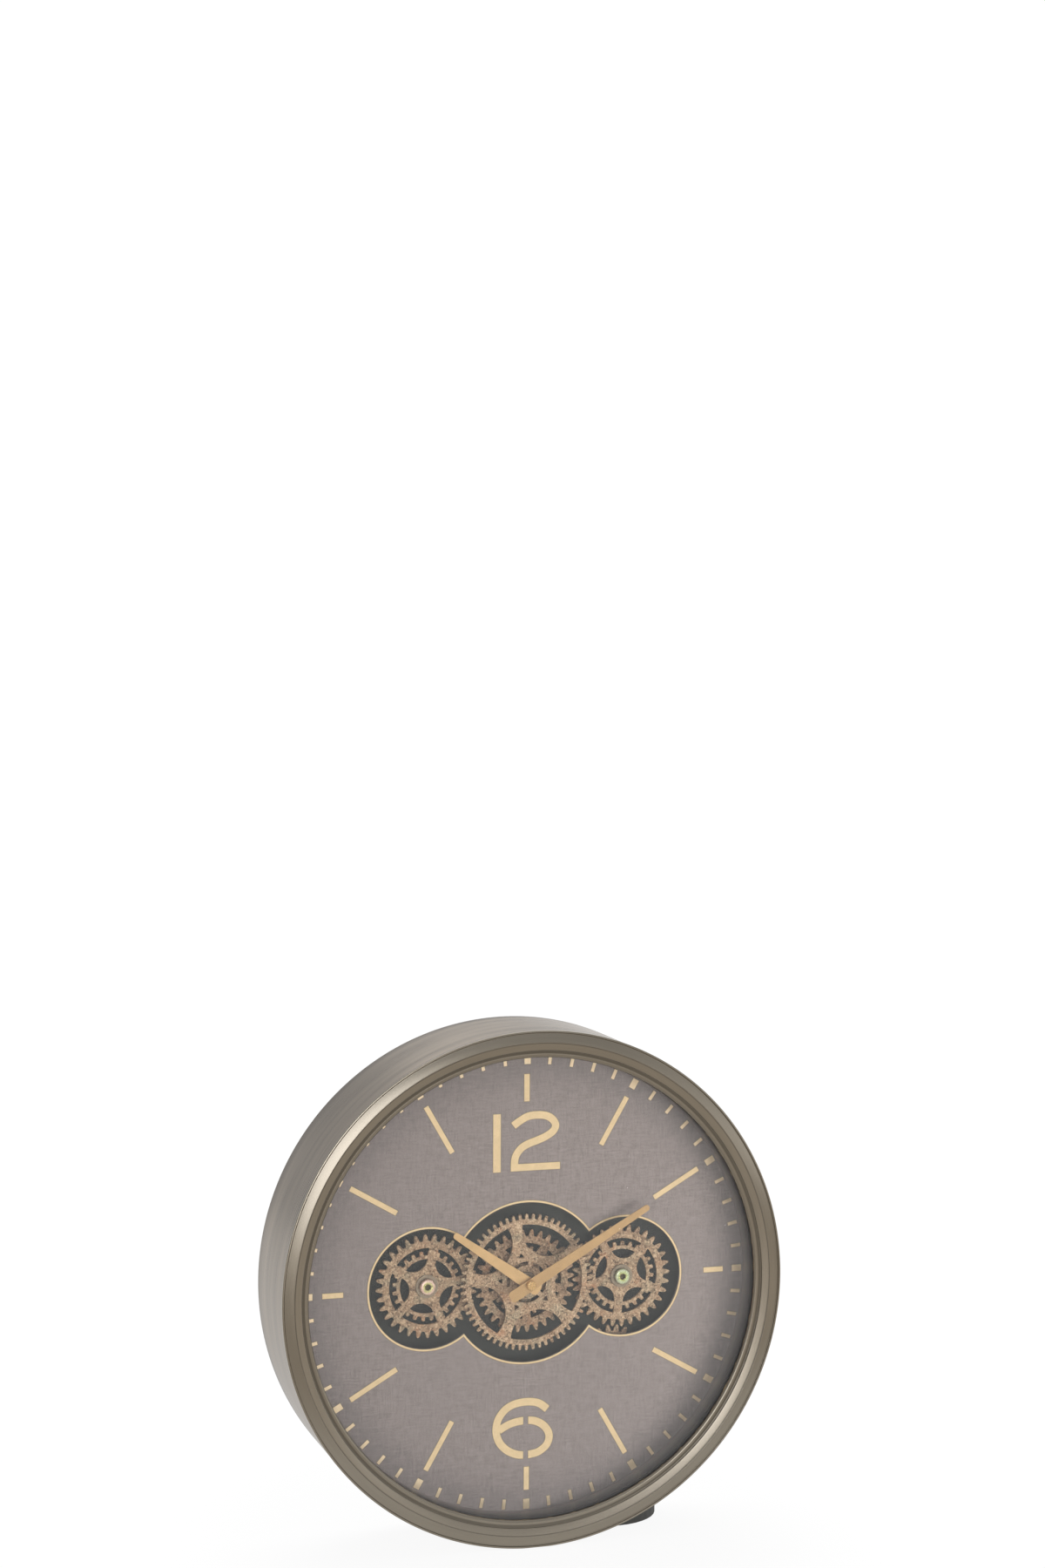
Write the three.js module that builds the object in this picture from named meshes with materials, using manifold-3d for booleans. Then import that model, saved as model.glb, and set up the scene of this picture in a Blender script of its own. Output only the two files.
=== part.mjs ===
// Round gear clock: a deep drum case with a rolled bezel, a dial with a
// three-lobed window, open decorative gears that turn behind it, and a
// battery movement for the hands.  Millimetres, +Z up, front faces -Y.
// The origin is under the middle of the case, on the surface it stands on.
// Inside the clock group, y = 0 is the front face of the dial and
// x = z = 0 is the centre of the hands.
import * as THREE from 'three';
import * as BufferGeometryUtils from 'three/addons/utils/BufferGeometryUtils.js';
import Module from 'manifold-3d';

const wasm = await Module();
wasm.setup();

// ---------------------------------------------------------------- dimensions
const GAP = 0.3;                 // play between touching pieces
const SEG = 60;                  // flats round the large rings

const CASE_R = 230;              // outer radius of case and bezel
const CASE_FRONT = -29.0;        // front edge of the drum
const CASE_BACK = 67.4;          // rear rim of the drum
const WALL = 1.5;                // sheet thickness of the drum
const BEZEL_FRONT = -33.8;       // highest point of the bezel
const FLANGE_PLATE_Y = 18.4;     // flange that carries the gear plate
const FLANGE_REAR_Y = 57.0;      // flange that carries the rear cover

const GLASS_R = 211.6;
const GLASS_Y0 = -26.4, GLASS_Y1 = -23.9;
const SPACER_RI = 206.6, SPACER_RO = 210.8;

const DIAL_R = 212;
const DIAL_T = 2.0;
const LOBE_MID_R = 72.0;         // middle lobe of the window
const LOBE_SIDE_R = 53.6;        // side lobes of the window
const LOBE_SIDE_X = 91.6;

const PLATE_Y0 = 16.0, PLATE_Y1 = 18.0;   // gear plate
const PLATE_R = 226;

const AXLE_X = 91.2;             // side gear axles from the centre
const AXLE_TILT = 1.2;           // the plate sits turned: left high, right low
const GEAR_T = 2.5;              // gear thickness

const COARSE_N = 32, COARSE_TIP = 46.7, COARSE_ROOT = 40.5;
const COARSE_RING_RI = 34.2;
const INNER_N = 24, INNER_TIP = 31.3, INNER_ROOT = 27.5;
const LENS_DISC = 24.4, LENS_R = 13.1, LENS_C = 28.8;
const BRIDGE_HALF = 4.0;
const FINE_N = 60, FINE_TIP = 61.5, FINE_ROOT = 56.8;
const DRIVE_N = 20, DRIVE_TIP = 29.6, DRIVE_ROOT = 23.4;
const DRIVE_X = 82.5, DRIVE_Z = -74.8;

const FINE_Y = 0.5;              // front face of the fine gear
const COARSE_Y = 6.0;            // front face of the coarse gears

const MINUTE_LEN = 128.5, MINUTE_TAIL = 22, MINUTE_Y = -12.3;
const HOUR_LEN = 85.8, HOUR_TAIL = 11, HOUR_Y = -9.3;
const HAND_T = 1.0;
const MINUTE_DIAL_DEG = 60;      // ten minutes past
const HOUR_DIAL_DEG = 305;       // ten o'clock and ten minutes

const COVER_Y0 = 58.8, COVER_Y1 = 61.0, COVER_R = 226;
const DOOR = { x0: -113.4, x1: 44, z0: -96, z1: 44, y0: 61.3, y1: 63.1 };
const OPEN = { x0: -108, x1: 39, z0: -91, z1: 39 };
const HINGE_X = -116, HINGE_Y = 63.2;

const D2R = Math.PI / 180;

// ---------------------------------------------------------------- materials
const mat = (color, roughness, metalness, extra = {}) =>
  new THREE.MeshStandardMaterial({ color, roughness, metalness, ...extra });
const M = {
  pewter: () => mat(0x8b8377, 0.38, 0.9),
  dial: () => mat(0x96908b, 0.85, 0.0),
  bronze: () => mat(0xa5876c, 0.6, 0.6),
  gold: () => mat(0xcdaa78, 0.45, 0.7),
  dark: () => mat(0x3c3e3b, 0.7, 0.1),
  zinc: () => mat(0xc9c28f, 0.35, 0.9),
  steel: () => mat(0x9a9a98, 0.35, 0.9),
  brass: () => mat(0xb59a5c, 0.35, 0.9),
  plastic: () => mat(0x1c1c1d, 0.5, 0.0),
  rubber: () => mat(0x151515, 0.8, 0.0),
  board: () => mat(0x2b2926, 0.8, 0.0),
  cell: () => mat(0x7f8c96, 0.4, 0.3),
  glass: () => mat(0xeef2f2, 0.05, 0.0, { transparent: true, opacity: 0.15 }),
  wire: () => mat(0x8c1c14, 0.5, 0.0),
};

// ---------------------------------------------------------------- helpers
const clock = new THREE.Group();
clock.position.set(0, -(BEZEL_FRONT + CASE_BACK) / 2, CASE_R);

function outward(geo) {
  let g = geo.clone();
  g.deleteAttribute('normal');
  g.deleteAttribute('uv');
  g = BufferGeometryUtils.mergeVertices(g, 1e-4);
  const p = g.attributes.position, ix = g.index.array;
  const keep = [];
  for (let i = 0; i < ix.length; i += 3) {
    if (ix[i] !== ix[i + 1] && ix[i + 1] !== ix[i + 2] && ix[i] !== ix[i + 2]) {
      keep.push(ix[i], ix[i + 1], ix[i + 2]);
    }
  }
  const a = new THREE.Vector3(), b = new THREE.Vector3(), c = new THREE.Vector3();
  let vol = 0;
  for (let i = 0; i < keep.length; i += 3) {
    a.fromBufferAttribute(p, keep[i]);
    b.fromBufferAttribute(p, keep[i + 1]);
    c.fromBufferAttribute(p, keep[i + 2]);
    vol += a.dot(b.cross(c));
  }
  if (vol < 0) {
    for (let i = 0; i < keep.length; i += 3) {
      [keep[i + 1], keep[i + 2]] = [keep[i + 2], keep[i + 1]];
    }
  }
  g.setIndex(keep);
  return g;
}

function add(name, geo, material) {
  const g = outward(geo);
  g.computeVertexNormals();
  const m = new THREE.Mesh(g, material);
  m.name = name;
  clock.add(m);
  return m;
}

// Turned piece about the clock's Y axis.  Radii are measured over the flats.
function turned(profile, { n = SEG, x = 0, z = 0 } = {}) {
  const k = 1 / Math.cos(Math.PI / n);
  const pts = profile.map(([r, y]) => new THREE.Vector2(r * k, y));
  const closed = profile[0][0] > 0;
  if (closed) pts.push(pts[0].clone());
  const g = new THREE.LatheGeometry(pts, n, Math.PI / n, Math.PI * 2);
  g.translate(x, 0, z);
  return g;
}
const tube = (ri, ro, y0, y1, o) => turned([[ri, y0], [ro, y0], [ro, y1], [ri, y1]], o);
const rod = (r, y0, y1, o) => turned([[0, y0], [r, y0], [r, y1], [0, y1]], o);

// Flat piece: an outline in the X-Z plane, from y0 at the front to y1.
function plate(shape, y0, y1) {
  const g = new THREE.ExtrudeGeometry(shape, { depth: y1 - y0, bevelEnabled: false, curveSegments: 12 });
  g.rotateX(Math.PI / 2);
  g.translate(0, y1, 0);
  return g;
}
const block = (x0, x1, y0, y1, z0, z1) => {
  const g = new THREE.BoxGeometry(x1 - x0, y1 - y0, z1 - z0);
  g.translate((x0 + x1) / 2, (y0 + y1) / 2, (z0 + z1) / 2);
  return g;
};
const poly = (pts) => new THREE.Shape(pts.map(([x, z]) => new THREE.Vector2(x, z)));
const polyHole = (pts) => new THREE.Path(pts.map(([x, z]) => new THREE.Vector2(x, z)));
const at = (r, deg, cx = 0, cz = 0) => [cx + r * Math.cos(deg * D2R), cz + r * Math.sin(deg * D2R)];
const ringPts = (r, n, cx = 0, cz = 0) => {
  const k = r / Math.cos(Math.PI / n);
  return Array.from({ length: n }, (_, i) => at(k, (i + 0.5) * 360 / n, cx, cz));
};

function toSolid(geo) {
  const g = outward(geo);
  return new wasm.Manifold(new wasm.Mesh({
    numProp: 3,
    vertProperties: new Float32Array(g.attributes.position.array),
    triVerts: new Uint32Array(g.index.array),
  }));
}
function fromSolid(solid) {
  const m = solid.getMesh();
  const g = new THREE.BufferGeometry();
  g.setAttribute('position', new THREE.BufferAttribute(new Float32Array(m.vertProperties), 3));
  g.setIndex(new THREE.BufferAttribute(new Uint32Array(m.triVerts), 1));
  return g;
}

// Lens-shaped piece cut from a disc by a circle centred outside it.
function lensPts(disc, r, c, deg, n = 7, cx = 0, cz = 0) {
  const xi = (disc * disc - r * r + c * c) / (2 * c);
  const h = Math.sqrt(disc * disc - xi * xi);
  const aD = Math.atan2(h, xi) / D2R;
  const aL = Math.atan2(h, xi - c) / D2R;   // seen from the circle's centre
  const pts = [];
  for (let i = 0; i <= n; i++) pts.push(at(disc, -aD + (2 * aD * i) / n));
  for (let i = 1; i < n; i++) {
    const a = aL + ((360 - 2 * aL) * i) / n;
    const [px, pz] = at(r, a);
    pts.push([px + c, pz]);
  }
  const co = Math.cos(deg * D2R), si = Math.sin(deg * D2R);
  return pts.map(([x, z]) => [cx + x * co - z * si, cz + x * si + z * co]);
}

// Toothed outline, four points to a tooth.
function teethPts(n, root, tip, rootHalf, tipHalf, phase, cx = 0, cz = 0) {
  const pts = [];
  const hr = rootHalf / root / D2R, ht = tipHalf / tip / D2R;
  for (let i = 0; i < n; i++) {
    const a = phase + (i * 360) / n;
    pts.push(at(root, a - hr, cx, cz), at(tip, a - ht, cx, cz), at(tip, a + ht, cx, cz), at(root, a + hr, cx, cz));
  }
  return pts;
}

// The coarse wheel: toothed rim, five bridges, and a small-toothed disc
// with five lens-shaped holes, all in one flat moulding.
function wheel(cx, cz, turn, bore) {
  const shape = poly(teethPts(COARSE_N, COARSE_ROOT, COARSE_TIP, 2.7, 1.3, turn + 8.8, cx, cz));
  const hr = 2.1 / INNER_ROOT / D2R, ht = 1.4 / INNER_TIP / D2R;
  const inner = (deg) => {                       // radius of the small teeth
    const p = 360 / INNER_N;
    let d = (((deg - (turn + 8.9)) % p) + p) % p;
    if (d > p / 2) d = p - d;
    if (d <= ht) return INNER_TIP;
    if (d >= hr) return INNER_ROOT;
    return INNER_TIP + ((d - ht) / (hr - ht)) * (INNER_ROOT - INNER_TIP);
  };
  for (let k = 0; k < 5; k++) {
    const b0 = turn + 72 * k, b1 = b0 + 72;
    const bo = Math.asin(BRIDGE_HALF / COARSE_RING_RI) / D2R;
    const bi = Math.asin(BRIDGE_HALF / 29) / D2R;
    const pts = [];
    for (let i = 0; i <= 6; i++) pts.push(at(COARSE_RING_RI, b0 + bo + ((72 - 2 * bo) * i) / 6, cx, cz));
    const lo = b0 + bi, hi = b1 - bi;
    const marks = [hi];
    const p = 360 / INNER_N;
    for (let j = -40; j < 60; j++) {
      const t = turn + 8.9 + j * p;
      for (const m of [t + hr, t + ht, t - ht, t - hr]) if (m > lo + 0.05 && m < hi - 0.05) marks.push(m);
    }
    marks.push(lo);
    marks.sort((u, v) => v - u);
    for (const m of marks) pts.push(at(inner(m), m, cx, cz));
    shape.holes.push(polyHole(pts));
    shape.holes.push(polyHole(lensPts(LENS_DISC, LENS_R, LENS_C, b0 + 36, 5, cx, cz)));
  }
  shape.holes.push(polyHole(ringPts(bore, 20, cx, cz)));
  return plate(shape, COARSE_Y, COARSE_Y + GEAR_T);
}

// ---------------------------------------------------------------- case
const rearScrews = [45, 135, 225, 315].map((a) => at(220, a));
{
  const b = CASE_R, i = CASE_R - WALL;
  const drum = turned([
    [b, CASE_FRONT], [b, CASE_BACK], [i, CASE_BACK],
    [i, FLANGE_REAR_Y + WALL], [214, FLANGE_REAR_Y + WALL], [214, FLANGE_REAR_Y], [i, FLANGE_REAR_Y],
    [i, FLANGE_PLATE_Y + WALL], [217, FLANGE_PLATE_Y + WALL], [217, FLANGE_PLATE_Y], [i, FLANGE_PLATE_Y],
    [i, CASE_FRONT + WALL], [214.5, CASE_FRONT + WALL], [214.5, CASE_FRONT],
  ]);
  let s = toSolid(drum);
  for (const [x, z] of rearScrews) s = s.subtract(toSolid(rod(2.05, 50, 60, { n: 8, x, z })));
  add('case_drum', fromSolid(s), M.pewter());
}
add('bezel_ring', turned([
  [230, -29.4], [230, -33.0], [228.4, BEZEL_FRONT], [226.8, -31.8], [219, -32.6],
  [212.3, -30.7], [206.2, -29.2], [206.2, -26.8], [213.2, -26.8], [213.2, -29.4],
]), M.pewter());
add('glass_lens', rod(GLASS_R, GLASS_Y0, GLASS_Y1), M.glass());
add('glass_gasket', tube(206.8, 211.4, GLASS_Y1 + GAP, -20.2, { n: 48 }), M.rubber());
add('dial_spacer_ring', tube(SPACER_RI, SPACER_RO, -19.9, -GAP, { n: 48 }), M.pewter());

// dial with the three-lobed window
{
  const shape = poly(ringPts(DIAL_R, SEG));
  const d = LOBE_SIDE_X, rm = LOBE_MID_R, rs = LOBE_SIDE_R;
  const xi = (d * d + rm * rm - rs * rs) / (2 * d);
  const zi = Math.sqrt(rm * rm - xi * xi);
  const am = Math.atan2(zi, xi) / D2R;
  const as = Math.atan2(zi, d - xi) / D2R;       // at the side lobe's centre
  const pts = [];
  for (let i = 0; i <= 20; i++) pts.push(at(rm, am + ((180 - 2 * am) * i) / 20));
  for (let i = 1; i < 24; i++) pts.push(at(rs, as + ((360 - 2 * as) * i) / 24, -d, 0));
  for (let i = 0; i <= 20; i++) pts.push(at(rm, 180 + am + ((180 - 2 * am) * i) / 20));
  for (let i = 1; i < 24; i++) pts.push(at(rs, 180 + as + ((360 - 2 * as) * i) / 24, d, 0));
  shape.holes.push(polyHole(pts));
  add('dial_plate', plate(shape, 0, DIAL_T), M.dial());
}

// pillars that space the dial from the gear plate
[[-150, 112], [150, 112], [150, -112], [-150, -112]].forEach(([x, z], i) => {
  add(`dial_pillar_${i + 1}`, rod(4, DIAL_T + GAP, PLATE_Y0 - GAP, { n: 10, x, z }), M.steel());
});

// gear plate, the dark panel behind the gears
const leftAxle = [-AXLE_X, AXLE_TILT], rightAxle = [AXLE_X, -AXLE_TILT];
const motorScrews = [[DRIVE_X - 27, DRIVE_Z], [DRIVE_X + 27, DRIVE_Z]];
{
  const shape = poly(ringPts(PLATE_R, SEG));
  shape.holes.push(polyHole(ringPts(4.4, 12, 0, 0)));
  shape.holes.push(polyHole(ringPts(3.6, 12, DRIVE_X, DRIVE_Z)));
  for (const [x, z] of motorScrews) shape.holes.push(polyHole(ringPts(1.85, 8, x, z)));
  add('gear_plate', plate(shape, PLATE_Y0, PLATE_Y1), M.dark());
}

// ---------------------------------------------------------------- centre gears
{
  const shape = poly(teethPts(FINE_N, FINE_ROOT, FINE_TIP, 1.7, 1.1, 0));
  for (let k = 0; k < 5; k++) {
    shape.holes.push(polyHole(lensPts(52, 25.5, 52, 66 + 72 * k, 8)));
    const a = 30 + 72 * k;                       // small triangle on each arm
    shape.holes.push(polyHole([at(27.1, a), at(22.9, a + 6.4), at(22.9, a - 6.4)]));
  }
  for (let k = 0; k < 3; k++) {                  // slots round the hub
    const b0 = 77.5 + 120 * k, half = 2.2, n = 10, pts = [];
    const ho = Math.asin(half / 18.5) / D2R, hi = Math.asin(half / 15.3) / D2R;
    for (let i = 0; i <= n; i++) pts.push(at(18.5, b0 + ho + ((120 - 2 * ho) * i) / n));
    for (let i = n; i >= 0; i--) pts.push(at(15.3, b0 + hi + ((120 - 2 * hi) * i) / n));
    shape.holes.push(polyHole(pts));
  }
  shape.holes.push(polyHole(ringPts(9.3, 20)));
  add('centre_ring_gear', plate(shape, FINE_Y, FINE_Y + GEAR_T), M.bronze());
}
add('centre_rear_gear', wheel(0, 0, 129.1, 9.3), M.bronze());
add('centre_hub', tube(6.3, 9.0, FINE_Y, COARSE_Y + GEAR_T, { n: 20 }), M.brass());
add('centre_bush', turned([
  [4.3, -0.9], [6.0, -0.9], [6.0, 8.8], [11, 8.8], [11, 13.2], [4.3, 13.2],
], { n: 20 }), M.steel());
add('centre_clip', tube(6.3, 8.5, -0.7, 0.2, { n: 20 }), M.steel());

// ---------------------------------------------------------------- side gears
for (const [side, [x, z], turn] of [['left', leftAxle, 150.1], ['right', rightAxle, 48.5]]) {
  add(`${side}_gear`, wheel(x, z, turn, 5.3), M.bronze());
  add(`${side}_axle`, turned([
    [2.3, 4.2], [5.0, 4.2], [5.0, 8.8], [9, 8.8], [9, PLATE_Y0 - GAP], [2.3, PLATE_Y0 - GAP],
  ], { n: 16, x, z }), M.steel());
  add(`${side}_washer`, tube(5.3, 10.3, 4.4, COARSE_Y - GAP, { n: 20, x, z }), M.dark());
  add(`${side}_screw`, turned([
    [0, 0.6], [5.6, 0.6], [7, 1.8], [7, 3.9], [2, 3.9], [2, 13], [0, 13],
  ], { n: 16, x, z }), M.zinc());
}

// ---------------------------------------------------------------- gear drive
{
  const phase = 7.6;
  const shape = poly(teethPts(DRIVE_N, DRIVE_ROOT, DRIVE_TIP, 2.7, 1.3, phase, DRIVE_X, DRIVE_Z));
  shape.holes.push(polyHole(ringPts(2.8, 12, DRIVE_X, DRIVE_Z)));
  add('drive_gear', plate(shape, COARSE_Y, COARSE_Y + GEAR_T), M.bronze());
}
add('drive_shaft', turned([
  [0, 5.4], [2.5, 5.4], [2.5, 8.8], [5, 8.8], [5, 11], [2.5, 11], [2.5, 18.1], [0, 18.1],
], { n: 12, x: DRIVE_X, z: DRIVE_Z }), M.steel());
{
  const ears = block(DRIVE_X - 32, DRIVE_X + 32, 18.4, 20.4, DRIVE_Z - 8, DRIVE_Z + 8);
  const box = block(DRIVE_X - 21, DRIVE_X + 21, 18.4, 40, DRIVE_Z - 21, DRIVE_Z + 21);
  let s = toSolid(box).add(toSolid(ears));
  for (const [x, z] of motorScrews) s = s.subtract(toSolid(rod(1.85, 17, 22, { n: 8, x, z })));
  add('gear_motor', fromSolid(s), M.plastic());
}
motorScrews.forEach(([x, z], i) => {
  add(`motor_screw_${i + 1}`, turned([
    [0, 22.8], [3.4, 22.8], [3.4, 20.7], [1.5, 20.7], [1.5, 15], [0, 15],
  ], { n: 8, x, z }), M.steel());
});
const HOLD = { x0: -104, x1: -46, z0: -88, z1: -55, y0: 18.4, y1: 33.4 };
{
  let s = toSolid(block(HOLD.x0, HOLD.x1, HOLD.y0, HOLD.y1, HOLD.z0, HOLD.z1));
  s = s.subtract(toSolid(block(HOLD.x0 + 1.8, HOLD.x1 - 1.8, HOLD.y0 + 1.5, HOLD.y1 + 1, HOLD.z0 + 1.5, HOLD.z1 - 1.5)));
  add('motor_battery_holder', fromSolid(s), M.plastic());
}
const cellAlongX = (cx, cy, cz, r = 7.0, len = 50) => {
  const g = new THREE.LatheGeometry([
    new THREE.Vector2(0, -len / 2), new THREE.Vector2(r, -len / 2), new THREE.Vector2(r, len / 2 - 1.4),
    new THREE.Vector2(2.6, len / 2 - 1.4), new THREE.Vector2(2.6, len / 2), new THREE.Vector2(0, len / 2),
  ], 12);
  g.rotateZ(-Math.PI / 2);
  g.translate(cx, cy, cz);
  return g;
};
add('motor_cell_1', cellAlongX(-75, 27.4, -79.1), M.cell());
add('motor_cell_2', cellAlongX(-75, 27.4, -63.9), M.cell());
{
  const path = new THREE.CatmullRomCurve3([
    [-45.6, 24, -72], [-36, 24, -73], [-20, 22, -79], [5, 20, -84], [30, 20, -84], [46, 24, -82], [61.1, 26, -80],
  ].map((p) => new THREE.Vector3(...p)));
  const r = 1.3, shape = new THREE.Shape();
  for (let i = 0; i < 8; i++) {
    const [px, py] = at(r, i * 45);
    if (i) shape.lineTo(px, py); else shape.moveTo(px, py);
  }
  add('motor_lead', new THREE.ExtrudeGeometry(shape, { steps: 20, bevelEnabled: false, extrudePath: path }), M.wire());
}
{
  const sx = -75, sz = -40;
  let s = toSolid(block(sx - 10, sx + 10, 18.4, 29, sz - 5, sz + 5));
  s = s.subtract(toSolid(block(sx - 4.8, sx + 4.8, 25, 30, sz - 2.3, sz + 2.3)));
  add('gear_switch_body', fromSolid(s), M.plastic());
  add('gear_switch_slider', block(sx - 4.5, sx - 0.5, 25.3, 31.5, sz - 2, sz + 2), M.rubber());
}

// ---------------------------------------------------------------- movement
{
  let s = toSolid(block(-28, 28, 18.4, 34.4, -28, 28));
  s = s.subtract(toSolid(block(-26.2, 26.2, 19.8, 36, -26.2, -9.8)));
  add('movement_case', fromSolid(s), M.plastic());
}
add('movement_cell', cellAlongX(0, 27.2, -18, 7.0, 50), M.cell());
add('movement_stem', tube(2.9, 4.0, -6.5, 18.1, { n: 16 }), M.brass());
{
  const shape = poly(Array.from({ length: 6 }, (_, i) => at(7, 60 * i)));
  shape.holes.push(polyHole(ringPts(4.3, 16)));
  add('stem_nut', plate(shape, 13.5, 15.7), M.brass());
}
add('hour_pipe', tube(1.85, 2.6, -9.6, 18.1, { n: 12 }), M.brass());
add('minute_arbor', rod(1.5, -14.0, 18.1, { n: 12 }), M.steel());
add('set_knob', turned([
  [0, 34.7], [3.5, 34.7], [3.5, 36.2], [8, 36.2], [8, 41], [0, 41],
], { n: 20, x: 0, z: 10 }), M.rubber());

// ---------------------------------------------------------------- hands
// Outline along its length (u) and across it (v), turned to a dial angle.
function hand(outline, bore, dialDeg, y) {
  const a = (90 - dialDeg) * D2R, co = Math.cos(a), si = Math.sin(a);
  const shape = poly(outline.map(([u, v]) => [u * co - v * si, u * si + v * co]));
  shape.holes.push(polyHole(ringPts(bore, 12)));
  return plate(shape, y, y + HAND_T);
}
add('minute_hand', hand([
  [-MINUTE_TAIL, -3.4], [-MINUTE_TAIL + 2.4, -5.35], [0, -5.2], [MINUTE_LEN - 2, -2.8], [MINUTE_LEN - 0.6, -1.8],
  [MINUTE_LEN, 0], [MINUTE_LEN - 0.6, 1.8], [MINUTE_LEN - 2, 2.8], [0, 5.2], [-MINUTE_TAIL + 2.4, 5.35], [-MINUTE_TAIL, 3.4],
], 1.8, MINUTE_DIAL_DEG, MINUTE_Y), M.gold());
add('hour_hand', hand([
  [-HOUR_TAIL, -3.4], [-HOUR_TAIL + 3, -5.85], [4, -5.6], [HOUR_LEN - 2, -2.9], [HOUR_LEN - 0.6, -1.8],
  [HOUR_LEN, 0], [HOUR_LEN - 0.6, 1.8], [HOUR_LEN - 2, 2.9], [4, 5.6], [-HOUR_TAIL + 3, 5.85], [-HOUR_TAIL, 3.4],
], 2.9, HOUR_DIAL_DEG, HOUR_Y), M.gold());
add('hand_nut', turned([
  [0, -15.3], [3.3, -15.3], [4.35, -14.4], [4.35, -12.6], [1.8, -12.6], [1.8, -14.3], [0, -14.3],
], { n: 16 }), M.gold());

// ---------------------------------------------------------------- back
const hangScrews = [[-27, 190], [27, 190]];
const hingeScrews = [[-124, -61], [-124, 9]];
{
  const shape = poly(ringPts(COVER_R, SEG));
  shape.holes.push(polyHole([[OPEN.x0, OPEN.z0], [OPEN.x0, OPEN.z1], [OPEN.x1, OPEN.z1], [OPEN.x1, OPEN.z0]]));
  for (const [x, z] of rearScrews) shape.holes.push(polyHole(ringPts(2.05, 8, x, z)));
  for (const [x, z] of hangScrews) shape.holes.push(polyHole(ringPts(1.9, 8, x, z)));
  for (const [x, z] of hingeScrews) shape.holes.push(polyHole(ringPts(1.5, 8, x, z)));
  add('rear_cover', plate(shape, COVER_Y0, COVER_Y1), M.board());
}
rearScrews.forEach(([x, z], i) => {
  add(`rear_screw_${i + 1}`, turned([
    [0, 63.4], [4, 63.4], [4, 61.3], [1.7, 61.3], [1.7, 55], [0, 55],
  ], { n: 8, x, z }), M.steel());
});

const zBar = (r, x, y, z0, z1, n = 12) => {
  const g = new THREE.CylinderGeometry(r, r, z1 - z0, n);
  g.rotateX(Math.PI / 2);
  g.translate(x, y, (z0 + z1) / 2);
  return g;
};
const KN = [-76, -46, -6, 24];                   // hinge knuckle joints
{
  let s = toSolid(block(DOOR.x0, DOOR.x1, DOOR.y0, DOOR.y1, DOOR.z0, DOOR.z1));
  s = s.add(toSolid(block(HINGE_X, DOOR.x0 + 0.5, DOOR.y0 + 0.2, DOOR.y1, KN[1] + 0.2, KN[2] - 0.2)));
  s = s.add(toSolid(zBar(1.9, HINGE_X, HINGE_Y, KN[1] + 0.2, KN[2] - 0.2)));
  s = s.subtract(toSolid(zBar(1.25, HINGE_X, HINGE_Y, KN[1] - 1, KN[2] + 1)));
  s = s.subtract(toSolid(rod(1.9, 60, 65, { n: 8, x: 32, z: -26 })));
  add('rear_door', fromSolid(s), M.board());
}
{
  let s = toSolid(block(-130, -118.4, 61.3, 62.3, KN[0], KN[3]));
  for (const [z0, z1] of [[KN[0], KN[1] - 0.2], [KN[2] + 0.2, KN[3]]]) {
    s = s.add(toSolid(block(-118.8, HINGE_X, 61.35, 62.3, z0, z1)));
    s = s.add(toSolid(zBar(1.9, HINGE_X, HINGE_Y, z0, z1)));
    s = s.subtract(toSolid(zBar(1.25, HINGE_X, HINGE_Y, z0 - 1, z1 + 1)));
  }
  for (const [x, z] of hingeScrews) s = s.subtract(toSolid(rod(1.5, 60, 64, { n: 8, x, z })));
  add('door_hinge_leaf', fromSolid(s), M.steel());
}
add('door_hinge_pin', zBar(0.9, HINGE_X, HINGE_Y, KN[0] + 0.3, KN[3] - 0.3, 10), M.steel());
hingeScrews.forEach(([x, z], i) => {
  add(`hinge_screw_${i + 1}`, turned([
    [0, 63.8], [2.6, 63.8], [2.6, 62.6], [1.2, 62.6], [1.2, 57.5], [0, 57.5],
  ], { n: 8, x, z }), M.steel());
});
add('door_knob', turned([
  [0, 66.8], [4.2, 66.8], [5, 66.2], [5, 65.2], [3, 63.4], [1.6, 63.4], [1.6, 60.4], [0, 60.4],
], { n: 14, x: 32, z: -26 }), M.steel());
{
  const hat = new THREE.Shape([
    [-34, 61.3], [-18.5, 61.3], [-18.5, 65.9], [18.5, 65.9], [18.5, 61.3], [34, 61.3],
    [34, 62.8], [20, 62.8], [20, CASE_BACK], [-20, CASE_BACK], [-20, 62.8], [-34, 62.8],
  ].map(([x, y]) => new THREE.Vector2(x, y)));
  const g = new THREE.ExtrudeGeometry(hat, { depth: 36, bevelEnabled: false });
  g.translate(0, 0, 172);
  let s = toSolid(g);
  s = s.subtract(toSolid(rod(5.2, 64, 70, { n: 16, x: 0, z: 183 })));
  s = s.subtract(toSolid(block(-2.6, 2.6, 64, 70, 183, 199)));
  for (const [x, z] of hangScrews) s = s.subtract(toSolid(rod(1.9, 60, 64, { n: 8, x, z })));
  add('wall_hanger', fromSolid(s), M.steel());
}
hangScrews.forEach(([x, z], i) => {
  add(`hanger_screw_${i + 1}`, turned([
    [0, 65.0], [3.4, 65.0], [3.4, 63.1], [1.6, 63.1], [1.6, 57], [0, 57],
  ], { n: 8, x, z }), M.steel());
});

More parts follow.
